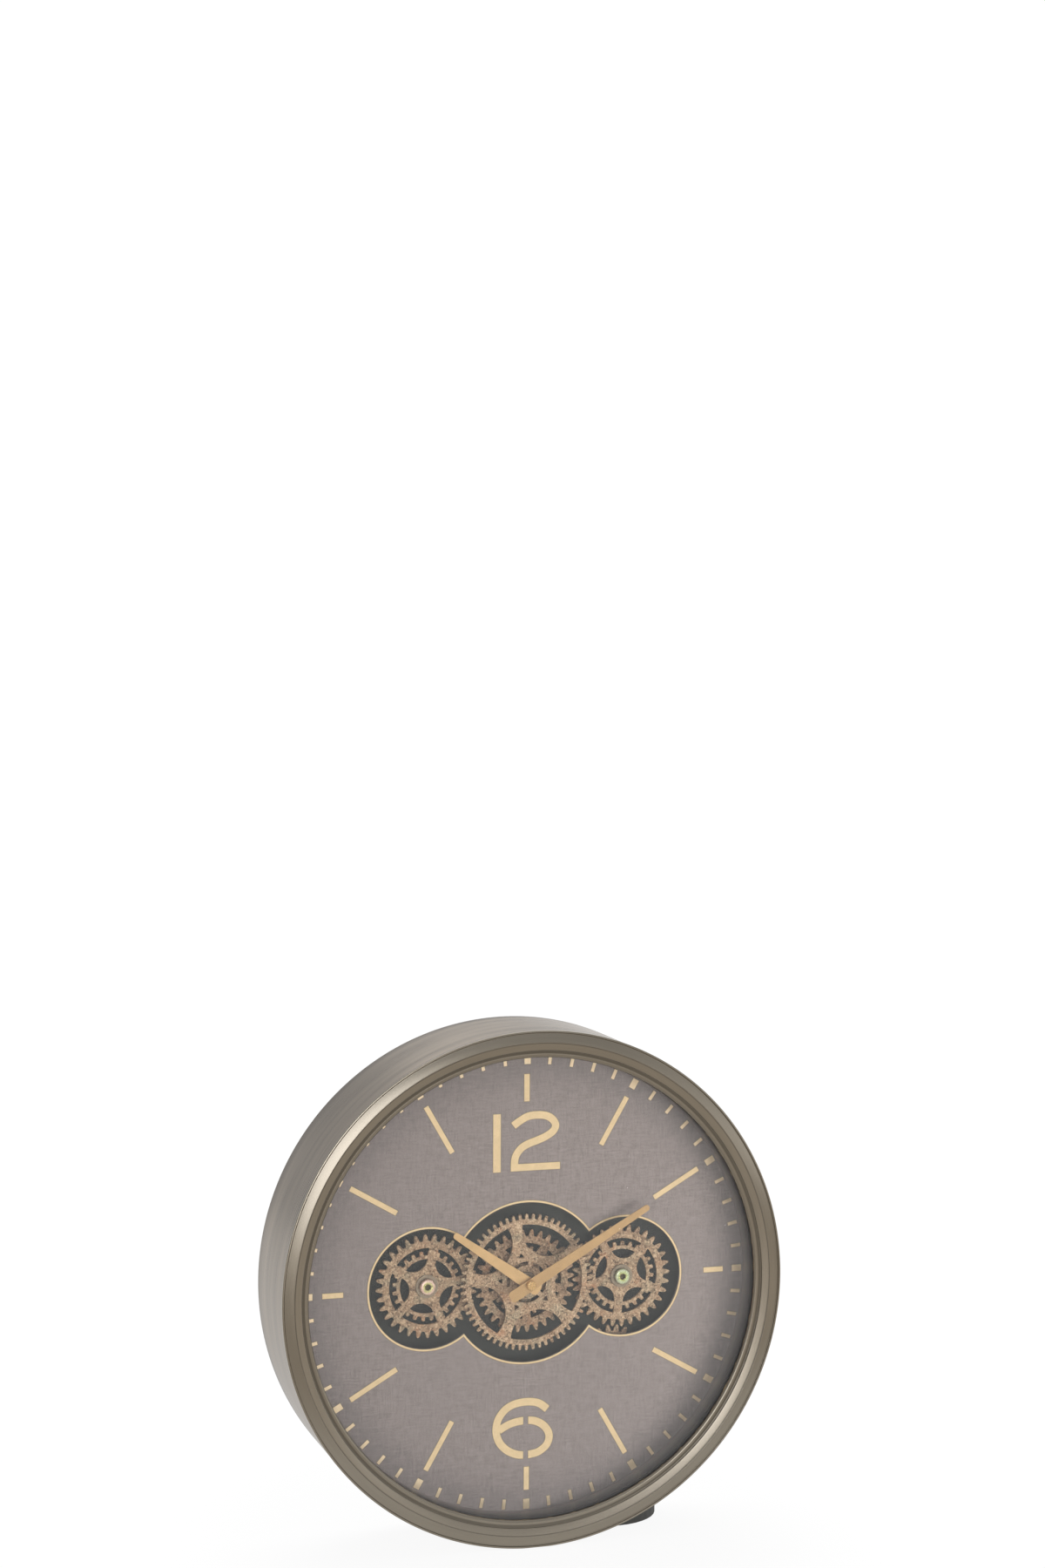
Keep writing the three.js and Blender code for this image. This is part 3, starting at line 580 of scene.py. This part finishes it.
def glass(name):
    M = Mat(name)
    o = M.tc.outputs["Object"]
    # painted reflection: the pale colour at low alpha stands in for the glass's reflection haze, varied by a dust noise
    dust_and_reflection = M.noise(o, 9, 3, 0.5)
    M.color(M.ramp(dust_and_reflection, [(0.3, (0.86, 0.88, 0.88)), (0.7, (0.95, 0.96, 0.96))]))
    M.set(Roughness=0.03, Alpha=0.032, IOR=1.5)
    return M.m


MAT["glass"] = glass("clear_glass")


def dress(ob, body, mat, slot, *nodes):
    ob.data.materials.clear()
    ob.data.materials.append(MAT[mat])
    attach(ob, body)
    if nodes:
        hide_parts(*nodes)
    return ob


def recolor(node, mat):
    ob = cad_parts[node]
    ob.data.materials.clear()
    ob.data.materials.append(MAT[mat])


# ------------------------------------------------------------------ case
R = 230.0
drum_profile = fillet([
    (R, -29.0), (R, 67.4), (228.5, 67.4),
    (228.5, 58.5), (214.0, 58.5), (214.0, 57.0), (228.5, 57.0),
    (228.5, 19.9), (217.0, 19.9), (217.0, 18.4), (228.5, 18.4),
    (228.5, -27.5), (214.5, -27.5), (214.5, -29.0),
], [0.5, 0.7, 0.6] + [0.35] * 11, 3)
dress(lathe("drum", drum_profile, 256), "case", "case", "case_metal", "case_drum")

def arc(r0, y0, t0, r1, t1, n):
    """Points of a smoothly turning face from r0 to r1 whose outward tilt goes
    from t0 to t1 degrees (inward tilts are negative)."""
    pts, r, y = [(r0, y0)], r0, y0
    for i in range(n):
        t = math.radians(t0 + (t1 - t0) * (i + 0.5) / n)
        nr = r0 + (r1 - r0) * (i + 1) / n
        y -= (r - nr) * math.tan(t)
        r = nr
        pts.append((r, y))
    return pts


bezel_profile = [(229.0, -29.3), (229.75, -29.4), (230.15, -29.65), (230.4, -30.05), (230.45, -30.5), (230.45, -32.45), (230.42, -32.68),
                 (230.33, -32.86), (230.18, -32.97), (229.9, -33.04), (229.6, -33.11), (229.3, -33.17), (229.1, -33.17), (228.93, -33.06),
                 (228.8, -32.84), (228.7, -32.52), (228.58, -32.22), (228.42, -32.02), (228.22, -31.92), (228.0, -31.9)]
bezel_profile += arc(227.8, -31.94, 14.5, 220.6, 10.5, 20)
r_, y_ = bezel_profile[-1]
bezel_profile += [(220.4, y_ - 0.05), (220.2, y_ - 0.1), (220.0, y_ - 0.12), (219.82, y_ - 0.08), (219.68, y_ + 0.02), (219.56, y_ + 0.18),
                  (219.42, y_ + 0.34), (219.22, y_ + 0.42), (219.0, y_ + 0.45)]
bezel_profile += arc(218.8, y_ + 0.48, -13, 213.2, -14.5, 8)
r_, y_ = bezel_profile[-1]
bezel_profile += [(213.02, y_ + 0.06), (212.9, y_ + 0.2), (212.82, y_ + 0.42), (212.72, y_ + 0.8), (212.55, y_ + 1.1), (212.25, y_ + 1.28),
                  (211.85, y_ + 1.36), (211.2, y_ + 1.42), (210.5, y_ + 1.47), (209.9, y_ + 1.5), (209.6, y_ + 1.5), (209.3, y_ + 1.48)]
bezel_profile += arc(209.0, y_ + 1.48, -4, 207.5, -20, 5)
r_, y_ = bezel_profile[-1]
bezel_profile += [(207.2, y_ + 0.2), (206.85, y_ + 0.42), (206.5, y_ + 0.72), (206.3, y_ + 1.1), (206.2, y_ + 1.5), (206.2, -27.0),
                  (206.4, -26.8), (213.0, -26.8), (213.2, -27.0), (213.2, -29.1), (213.4, -29.3)]
print("bezel inner edge", y_)
dress(lathe("bezel", bezel_profile, 320, angle=50, weighted=False), "case", "bezel", "case_metal", "bezel_ring")

dress(lathe("glass", fillet([(0, -26.4), (211.6, -26.4), (211.6, -23.9), (0, -23.9)], [0, 0.4, 0.4, 0], 2), 192),
      "case", "glass", "glass", "glass_lens")
dress(lathe("gasket", fillet([(206.8, -23.6), (211.4, -23.6), (211.4, -20.2), (206.8, -20.2)], 0.25, 2), 192),
      "case", "black", "black_rubber", "glass_gasket")
dress(lathe("inner_wall", fillet([(206.6, -19.9), (210.8, -19.9), (210.8, -0.3), (206.6, -0.3)], 0.25, 2), 256),
      "case", "wall", "case_metal", "dial_spacer_ring")

# ------------------------------------------------------------------ dial
LOBE_D = 91.6


def window(rm, rs, n=64):
    xi = (LOBE_D ** 2 + rm ** 2 - rs ** 2) / (2 * LOBE_D)
    zi = math.sqrt(rm ** 2 - xi ** 2)
    am = math.degrees(math.atan2(zi, xi))
    as_ = math.degrees(math.atan2(zi, LOBE_D - xi))
    pts = [at(rm, am + (180 - 2 * am) * i / n) for i in range(n + 1)]
    pts += [at(rs, as_ + (360 - 2 * as_) * i / n, -LOBE_D) for i in range(1, n)]
    pts += [at(rm, 180 + am + (180 - 2 * am) * i / n) for i in range(n + 1)]
    pts += [at(rs, 180 + as_ + (360 - 2 * as_) * i / n, LOBE_D) for i in range(1, n)]
    return pts


dial = flat("dial", [circle(212, n=256), window(72.0, 53.6)], 0.0, 2.0, 0.15, 1)
dress(dial, "case", "dial", "dial_print", "dial_plate")


def polar(r, deg, side=0.0):
    """Point at radius r and dial angle deg (clockwise from 12), moved sideways."""
    a = math.radians(deg)
    return (r * math.sin(a) + side * math.cos(a), r * math.cos(a) - side * math.sin(a))


def bar(r0, r1, deg, w, off=0.0):
    return [polar(r0, deg, off - w / 2), polar(r1, deg, off - w / 2), polar(r1, deg, off + w / 2), polar(r0, deg, off + w / 2)]


ticks = [bar(196.2, 205.2, 6 * i, 5.8 if i % 5 == 0 else 3.0) for i in range(60)]
bars = []
for h in range(12):
    if h == 0:
        bars.append(bar(162.8, 187.3, 0, 5.0, -0.5))
    elif h == 6:
        bars.append(bar(167.0, 187.9, 180, 4.8))
    elif h in (3, 9):
        bars.append(bar(168.6, 187.3, 30 * h, 4.6))
    else:
        bars.append(bar(138.8, 187.3, 30 * h, 4.6))


def smooth_path(pts, sub=6):
    out = []
    n = len(pts)
    for i in range(n - 1):
        p = [Vector(pts[max(0, min(n - 1, i + d))]) for d in (-1, 0, 1, 2)]
        for s in range(sub):
            t = s / sub
            out.append(0.5 * ((2 * p[1]) + (p[2] - p[0]) * t + (2 * p[0] - 5 * p[1] + 4 * p[2] - p[3]) * t * t
                              + (3 * p[1] - p[0] - 3 * p[2] + p[3]) * t ** 3))
    out.append(Vector(pts[-1]))
    return out


def sides(pts, w):
    """The two edges of a stroke of width w along a smooth path."""
    path = smooth_path(pts)
    left, right_ = [], []
    for i, p in enumerate(path):
        d = (path[min(i + 1, len(path) - 1)] - path[max(i - 1, 0)]).normalized()
        nrm = Vector((-d.y, d.x))
        left.append(p + nrm * w / 2)
        right_.append(p - nrm * w / 2)
    return left, right_


def tup(pts):
    return [(p[0], p[1]) for p in pts]


# 1 and 2
one = [(-31.8, 100.4), (-24.8, 100.4), (-24.8, 152.5), (-31.8, 152.5)]
L, Rr = sides([(-13.1, 141.5), (-7.9, 145.0), (-1.4, 148.6), (4.3, 150.0), (10.0, 150.2), (15.7, 149.6), (20.7, 147.7),
               (24.6, 144.3), (26.4, 139.6), (23.6, 134.6), (17.1, 130.5), (10.0, 127.7), (2.9, 125.4), (-2.9, 122.9),
               (-7.1, 119.6), (-10.4, 115.0), (-11.8, 110.0), (-11.9, 103.8)], 6.8)
# walking right along the top, the left side is the outer edge
L[0], Rr[0] = Vector((-15.1, 144.1)), Vector((-11.1, 138.8))
inner = [p for p in L if not (p.x > -9.5 and p.y < 107.0 and p.x < 0)]
two = tup(L[:-4]) + [(-8.5, 106.9), (30.7, 106.9), (30.7, 100.6), (-15.4, 100.6)] + tup(reversed(Rr[:-3]))
# 6
L6, R6 = sides([(19.4, -116.1), (14.3, -111.8), (10.0, -109.6), (5.0, -108.4), (-1.4, -108.0), (-7.9, -108.6),
                (-13.6, -110.1), (-19.3, -113.2), (-23.9, -117.9), (-27.1, -123.6), (-28.4, -130.7), (-27.7, -137.1),
                (-25.4, -142.9), (-21.8, -147.5), (-17.1, -151.4), (-11.4, -154.3), (-7.1, -155.6), (-3.1, -156.1)], 6.9)
R6[0], L6[0] = Vector((21.4, -113.7)), Vector((17.4, -118.6))
R6[-1].x = L6[-1].x = -3.1
six_c = tup(L6) + tup(reversed(R6))
La, Ra = sides([(-3.1, -124.9), (-9.3, -125.5), (-15.7, -127.1), (-20.7, -129.3), (-25.7, -132.1)], 6.9)
La[0].x = Ra[0].x = -3.1
six_a = tup(La) + tup(reversed(Ra))
Lb, Rb = sides([(1.6, -124.9), (6.4, -125.6), (11.4, -127.5), (15.7, -130.4), (19.3, -134.6), (21.2, -139.3), (20.9, -144.3),
                (18.6, -148.9), (14.3, -152.5), (9.3, -154.9), (1.6, -156.1)], 6.9)
Lb[0].x = Rb[0].x = Lb[-1].x = Rb[-1].x = 1.6
six_b = tup(Lb) + tup(reversed(Rb))

PRINT = 0.16


def printed(name, loops_list, grow=0.0, top=PRINT, mat="gold", body="case"):
    obs = [flat(f"{name}.{i}", lp if isinstance(lp[0][0], (list, tuple)) else [lp], -top, -0.01, 0.03 if grow == 0 else 0.0, 0, grow)
           for i, lp in enumerate(loops_list)]
    ob = join(name, obs)
    return dress(ob, body, mat, "dial_print" if mat == "gold_edge" else "hand_gold")


sets = {
    "ticks": ticks,
    "hour_bars": bars,
    "numeral_12": [one, two],
    "numeral_6": [six_c, six_b],
    "numeral_6_bowl": [six_a],
    "window_line": [[window(73.8, 55.4), window(72.2, 53.8)]],
}
for name, loops_list in sets.items():
    top = PRINT - (0.012 if name.endswith("bowl") else 0)
    printed(name, loops_list, 0.0, top, "gold_foil" if name == "ticks" else "gold")
    printed(name + "_edge", loops_list, 0.34, top * 0.55, "gold_edge")

# ------------------------------------------------------------------ gears
AX = 91.2
TILT = 1.2


def teeth(n, root, tip, prof, phase, cx=0.0, cz=0.0, land=2):
    """Toothed outline.  prof: (radius, half width) from root to tip."""
    pts = []
    for i in range(n):
        a = phase + 360 * i / n
        side = [(r, math.degrees(h / r)) for r, h in prof]
        pts += [at(r, a - d, cx, cz) for r, d in side]
        pts += [at(r, a + d, cx, cz) for r, d in reversed(side) if d > 0]
        nxt = a + 360 / n
        g0, g1 = a + side[0][1], nxt - side[0][1]
        for k in range(1, land):
            pts.append(at(root, g0 + (g1 - g0) * k / land, cx, cz))
    return pts


COARSE = [(40.5, 2.75), (41.0, 2.45), (42.6, 2.15), (44.4, 1.72), (45.8, 1.15), (46.45, 0.6), (46.7, 0.0)]
FINE = [(56.8, 1.75), (57.3, 1.55), (60.2, 1.32), (61.1, 1.05), (61.45, 0.55), (61.5, 0.0)]
INNER = [(27.5, 2.1), (27.9, 1.85), (30.4, 1.6), (31.1, 1.3), (31.3, 0.7)]
DRIVE = [(23.4, 2.75), (24.0, 2.45), (25.6, 2.15), (27.4, 1.72), (28.8, 1.15), (29.4, 0.6), (29.6, 0.0)]


def lens(disc, r, c, deg, n=14, cx=0.0, cz=0.0):
    xi = (disc * disc - r * r + c * c) / (2 * c)
    h = math.sqrt(disc * disc - xi * xi)
    aD = math.degrees(math.atan2(h, xi))
    aL = math.degrees(math.atan2(h, xi - c))
    pts = [at(disc, -aD + 2 * aD * i / n) for i in range(n + 1)]
    for i in range(1, n):
        px, pz = at(r, aL + (360 - 2 * aL) * i / n)
        pts.append((px + c, pz))
    co, si = math.cos(math.radians(deg)), math.sin(math.radians(deg))
    return [(cx + x * co - z * si, cz + x * si + z * co) for x, z in pts]


def wheel_loops(cx, cz, turn, bore):
    loops = [teeth(32, 40.5, 46.7, COARSE, turn + 8.8, cx, cz)]
    p = 360 / 24
    prof = [(r, math.degrees(h / r)) for r, h in INNER]

    def inner_r(deg):
        d = (deg - (turn + 8.9)) % p
        if d > p / 2:
            d = p - d
        if d <= prof[-1][1]:
            return prof[-1][0]
        if d >= prof[0][1]:
            return prof[0][0]
        for (ra, da), (rb, db) in zip(prof, prof[1:]):
            if db <= d <= da:
                t = (d - db) / (da - db) if da > db else 0
                return rb + (ra - rb) * t
        return prof[0][0]

    for k in range(5):
        b0 = turn + 72 * k
        bo = math.degrees(math.asin(4.0 / 34.2))
        bi = math.degrees(math.asin(4.0 / 29.0))
        pts = [at(34.2, b0 + bo + (72 - 2 * bo) * i / 24, cx, cz) for i in range(25)]
        lo, hi = b0 + bi, b0 + 72 - bi
        marks = [lo, hi]
        for j in range(-40, 60):
            t = turn + 8.9 + j * p
            for _, d in prof:
                marks += [mm for mm in (t - d, t + d) if lo + 0.05 < mm < hi - 0.05]
            mid = t + p / 2
            if lo + 0.05 < mid < hi - 0.05:
                marks.append(mid)
        pts += [at(inner_r(mm), mm, cx, cz) for mm in sorted(set(marks), reverse=True)]
        loops.append(pts)
        loops.append(lens(24.4, 13.1, 28.8, b0 + 36, 14, cx, cz))
    loops.append(circle(bore, cx, cz, 40))
    return loops


fine_loops = [teeth(60, 56.8, 61.5, FINE, 0)]
for k in range(5):
    fine_loops.append(lens(52, 25.5, 52, 66 + 72 * k, 22))
    a = 30 + 72 * k
    fine_loops.append([at(27.1, a), at(22.9, a + 6.4), at(22.9, a - 6.4)])
for k in range(3):
    b0 = 77.5 + 120 * k
    ho, hi_ = math.degrees(math.asin(2.2 / 18.5)), math.degrees(math.asin(2.2 / 15.3))
    pts = [at(18.5, b0 + ho + (120 - 2 * ho) * i / 20) for i in range(21)]
    pts += [at(15.3, b0 + hi_ + (120 - 2 * hi_) * i / 20) for i in range(20, -1, -1)]
    fine_loops.append(pts)
fine_loops.append(circle(9.3, n=40))
dress(flat("fine_gear", fine_loops, 0.5, 3.0, 0.28, 1), "centre_gears", "gear", "aged_bronze", "centre_ring_gear")
dress(flat("rear_gear", wheel_loops(0, 0, 129.1, 9.3), 6.0, 8.5, 0.28, 1), "centre_gears", "gear_painted_deep_shade", "aged_bronze", "centre_rear_gear")
for side, cx, cz, turn in (("left", -AX, TILT, 150.1), ("right", AX, -TILT, 48.5)):
    dress(flat(f"{side}_wheel", wheel_loops(cx, cz, turn, 5.3), 6.0, 8.5, 0.28, 1), f"{side}_gears", "gear_painted_shade", "aged_bronze", f"{side}_gear")
    dress(lathe(f"{side}_ring", fillet([(7.6, 4.4), (10.3, 4.4), (10.3, 5.7), (5.3, 5.7), (5.3, 5.0), (7.6, 5.0)], 0.3, 2), 64, cx, cz),
          "case", "washer", "panel", f"{side}_washer")

    def star(j, a):
        return 0.42 * math.cos(6 * a) if j in (2, 3) else 0.0

    prof = [(0, 2.9), (1.0, 2.9), (2.3, 2.75), (2.45, 0.9), (2.95, 0.66), (5.3, 0.62), (6.0, 0.8), (6.6, 1.25), (6.95, 1.9),
            (7.0, 2.4), (7.0, 3.6), (6.8, 3.9), (2.0, 3.9), (2.0, 12.6), (1.7, 13.0), (0, 13.0)]
    bolt = dress(lathe(f"{side}_bolt", prof, 72, cx, cz, wave=star, weighted=False),
                 "case", "zinc_warm" if side == "left" else "zinc_green", "zinc", f"{side}_screw")
    bolt.data.materials.append(MAT["recess"])
    for p in bolt.data.polygons:
        c = p.center
        if math.hypot(c.x - cx / 1000, c.z - cz / 1000 - DZ / 1000) < 0.0026 and (c.y * 1000 - DY) < 3.2:
            p.material_index = 1
    recolor(f"{side}_axle", "steel")
dloops = [teeth(20, 23.4, 29.6, DRIVE, 7.6, 82.5, -74.8), circle(2.8, 82.5, -74.8, 24)]
dress(flat("drive_wheel", dloops, 6.0, 8.5, 0.28, 1), "drive", "gear_painted_deep_shade", "aged_bronze", "drive_gear")

dress(lathe("hub", fillet([(6.3, 0.5), (9.0, 0.5), (9.0, 8.5), (6.3, 8.5)], 0.3, 2), 64), "centre_gears", "washer", "brass", "centre_hub")
dress(lathe("bush", fillet([(4.3, -0.9), (6.0, -0.9), (6.0, 8.8), (11, 8.8), (11, 13.2), (4.3, 13.2)], 0.3, 2), 64),
      "case", "steel", "plain_steel", "centre_bush")
dress(lathe("clip", fillet([(6.3, -0.7), (8.5, -0.7), (8.5, 0.2), (6.3, 0.2)], 0.2, 2), 64), "case", "washer", "plain_steel", "centre_clip")

# ------------------------------------------------------------------ hands


def hand_loop(outline, deg):
    a = math.radians(90 - deg)
    co, si = math.cos(a), math.sin(a)
    return [(u * co - v * si, u * si + v * co) for u, v in outline]


MIN = [(-22, -3.4), (-19.6, -5.35), (0, -5.2), (126.3, -2.85), (127.6, -2.2), (128.3, -1.2), (128.5, 0),
       (128.3, 1.2), (127.6, 2.2), (126.3, 2.85), (0, 5.2), (-19.6, 5.35), (-22, 3.4)]
HOUR = [(-11, -3.4), (-8, -5.85), (4, -5.6), (83.6, -2.95), (84.9, -2.3), (85.6, -1.2), (85.8, 0),
        (85.6, 1.2), (84.9, 2.3), (83.6, 2.95), (4, 5.6), (-8, 5.85), (-11, 3.4)]
dress(flat("long_hand", [hand_loop(MIN, 60), circle(1.8, n=32)], -12.3, -11.3, 0.18, 2), "minute", "hand", "hand_gold", "minute_hand")
dress(flat("short_hand", [hand_loop(HOUR, 305), circle(2.9, n=32)], -9.3, -8.3, 0.18, 2), "hour", "hand_hour", "hand_gold", "hour_hand")
dress(lathe("nut", [(0, -15.05), (1.0, -15.08), (1.25, -15.3), (3.0, -15.3), (3.6, -15.15), (4.1, -14.8), (4.35, -14.3),
                    (4.35, -12.8), (4.15, -12.6), (1.8, -12.6), (1.8, -14.3), (0, -14.3)], 64), "minute", "nut", "hand_gold", "hand_nut")

# ------------------------------------------------------------------ everything that keeps its CAD shape
for node, mat in {
    "gear_plate": "panel", "dial_pillar_1": "steel", "dial_pillar_2": "steel", "dial_pillar_3": "steel", "dial_pillar_4": "steel",
    "drive_shaft": "steel", "gear_motor": "plastic", "motor_screw_1": "steel", "motor_screw_2": "steel",
    "motor_battery_holder": "plastic", "motor_cell_1": "cell", "motor_cell_2": "cell", "motor_lead": "lead",
    "gear_switch_body": "plastic", "gear_switch_slider": "knob", "movement_case": "plastic", "movement_cell": "cell",
    "movement_stem": "brass", "stem_nut": "brass", "hour_pipe": "brass", "minute_arbor": "steel", "set_knob": "knob",
    "rear_cover": "board", "rear_screw_1": "steel", "rear_screw_2": "steel", "rear_screw_3": "steel", "rear_screw_4": "steel",
    "rear_door": "board", "door_hinge_leaf": "steel", "door_hinge_pin": "steel", "hinge_screw_1": "steel", "hinge_screw_2": "steel",
    "door_knob": "steel", "wall_hanger": "steel", "hanger_screw_1": "steel", "hanger_screw_2": "steel", "case_chock": "chock",
}.items():
    recolor(node, mat)

# ------------------------------------------------------------------ floor and light
me = bpy.data.meshes.new("floor")
me.from_pydata([(-6, -6, 0), (6, -6, 0), (6, 6, 0), (-6, 6, 0)], [], [(0, 1, 2, 3)])
floor = bpy.data.objects.new("floor", me)
COLL.objects.link(floor)
F = Mat("floor_white")
fo = F.tc.outputs["Object"]
fsep = F.n("ShaderNodeSeparateXYZ")
F.link(fo, fsep.inputs[0])
# the sweep is white; what the metal sees of it in front is a little warmer and dimmer
front = F.remap(fsep.outputs[1], -0.15, -0.45, 0.0, 1.0, True)
bounce = F.mix(front, (0.90, 0.89, 0.87), (0.66, 0.61, 0.55))
mirror = F.mix(front, (0.95, 0.945, 0.935), (0.66, 0.61, 0.55))
lp = F.n("ShaderNodeLightPath")
F.color(F.mix(lp.outputs["Is Camera Ray"], bounce, (0.94, 0.94, 0.94)))
F.set(Roughness=0.9, Specular_IOR_Level=0.1)
glow = F.n("ShaderNodeEmission")
glow.inputs[0].default_value = (1, 1, 1, 1)
glow.inputs[1].default_value = 1.02
dist = F.n("ShaderNodeVectorMath", operation="LENGTH")
F.link(fo, dist.inputs[0])
far = F.math("MULTIPLY", F.remap(dist.outputs["Value"], 0.20, 0.55, 0.90, 1.0, True), lp.outputs["Is Camera Ray"])
fmix = F.n("ShaderNodeMixShader")
F.link(far, fmix.inputs[0])
F.link(F.b.outputs[0], fmix.inputs[1])
F.link(glow.outputs[0], fmix.inputs[2])
wide = F.n("ShaderNodeEmission")
F.link(mirror, wide.inputs[0])
wide.inputs[1].default_value = 1.0
fm2 = F.n("ShaderNodeMixShader")
F.link(F.math("MULTIPLY", lp.outputs["Is Glossy Ray"], 0.85), fm2.inputs[0])
F.link(fmix.outputs[0], fm2.inputs[1])
F.link(wide.outputs[0], fm2.inputs[2])
F.link(fm2.outputs[0], F.out.inputs[0])
me.materials.append(F.m)

world = bpy.data.worlds.new("world")
SC.world = world
world.use_nodes = True
wt = world.node_tree
wt.nodes.clear()
wo = wt.nodes.new("ShaderNodeOutputWorld")
room = wt.nodes.new("ShaderNodeBackground")
room.inputs[1].default_value = 1.0
wc = wt.nodes.new("ShaderNodeTexCoord")
ws = wt.nodes.new("ShaderNodeSeparateXYZ")
wt.links.new(wc.outputs["Generated"], ws.inputs[0])
wr = wt.nodes.new("ShaderNodeValToRGB")
wt.links.new(ws.outputs[2], wr.inputs[0])
cr = wr.color_ramp
while len(cr.elements) < 8:
    cr.elements.new(0.5)
for e, (p, v) in zip(cr.elements, ((0.0, 0.96), (0.04, 0.92), (0.09, 0.74), (0.16, 0.57), (0.23, 0.55), (0.34, 0.62), (0.60, 0.72), (1.0, 1.0))):
    e.position = p
    e.color = (v, v, v, 1)
# near the horizon the backdrop is dimmer on the left and brighter on the right
slant = wt.nodes.new("ShaderNodeMapRange")
slant.interpolation_type = "SMOOTHSTEP"
for i, v in ((1, -0.36), (2, 0.36), (3, 0.64), (4, 1.22)):
    slant.inputs[i].default_value = v
wt.links.new(ws.outputs[0], slant.inputs[0])
low = wt.nodes.new("ShaderNodeMapRange")
low.interpolation_type = "SMOOTHSTEP"
for i, v in ((1, 0.03), (2, 0.12), (3, 1.0), (4, 0.0)):
    low.inputs[i].default_value = v
wt.links.new(ws.outputs[2], low.inputs[0])
tilt = wt.nodes.new("ShaderNodeMix")
tilt.data_type = "FLOAT"
tilt.inputs[2].default_value = 1.0
wt.links.new(low.outputs[0], tilt.inputs[0])
wt.links.new(slant.outputs[0], tilt.inputs[3])
shade = wt.nodes.new("ShaderNodeVectorMath")
shade.operation = "SCALE"
wt.links.new(wr.outputs[0], shade.inputs[0])
wt.links.new(tilt.outputs[0], shade.inputs["Scale"])
wt.links.new(shade.outputs[0], room.inputs[0])
seen = wt.nodes.new("ShaderNodeBackground")
seen.inputs[0].default_value = (1, 1, 1, 1)
seen.inputs[1].default_value = 1.02
wl = wt.nodes.new("ShaderNodeLightPath")
dim = wt.nodes.new("ShaderNodeMath")
dim.operation = "MULTIPLY_ADD"
dim.inputs[1].default_value = -0.36
dim.inputs[2].default_value = 1.0
wt.links.new(wl.outputs["Is Diffuse Ray"], dim.inputs[0])
# a bright panel far to the right, seen only by the metal
panel = wt.nodes.new("ShaderNodeMapRange")
panel.interpolation_type = "SMOOTHSTEP"
for i, v in ((1, 0.44), (2, 0.78), (3, 0.0), (4, 0.42)):
    panel.inputs[i].default_value = v
wt.links.new(ws.outputs[0], panel.inputs[0])
boost = wt.nodes.new("ShaderNodeMath")
boost.operation = "MULTIPLY_ADD"
wt.links.new(panel.outputs[0], boost.inputs[0])
wt.links.new(wl.outputs["Is Glossy Ray"], boost.inputs[1])
wt.links.new(dim.outputs[0], boost.inputs[2])
wt.links.new(boost.outputs[0], room.inputs[1])
wm = wt.nodes.new("ShaderNodeMixShader")
wt.links.new(wl.outputs["Is Camera Ray"], wm.inputs[0])
wt.links.new(room.outputs[0], wm.inputs[1])
wt.links.new(seen.outputs[0], wm.inputs[2])
wt.links.new(wm.outputs[0], wo.inputs[0])


def area(name, loc, target, sx, sy, radiance, color=(1, 1, 1)):
    li = bpy.data.lights.new(name, "AREA")
    li.shape = "RECTANGLE"
    li.size = sx
    li.size_y = sy
    li.energy = radiance * math.pi * sx * sy
    li.color = color
    ob = bpy.data.objects.new(name, li)
    COLL.objects.link(ob)
    ob.location = loc
    d = Vector(target) - Vector(loc)
    ob.rotation_euler = d.to_track_quat("-Z", "Y").to_euler()
    ob.visible_camera = False
    return ob


area("key", (-0.38, -3.20, 0.50), (0, 0, 0.23), 1.15, 1.05, 3.9, (0.945, 0.962, 1.0))
side = area("fill", (0.75, -0.90, 0.075), (0, 0, 0.23), 0.75, 0.13, 23.0)
side.visible_glossy = False
area("top", (0.3, 1.3, 2.4), (0.0, 0.0, 0.0), 2.2, 2.2, 2.4)

# ------------------------------------------------------------------ end
bpy.context.view_layer.update()
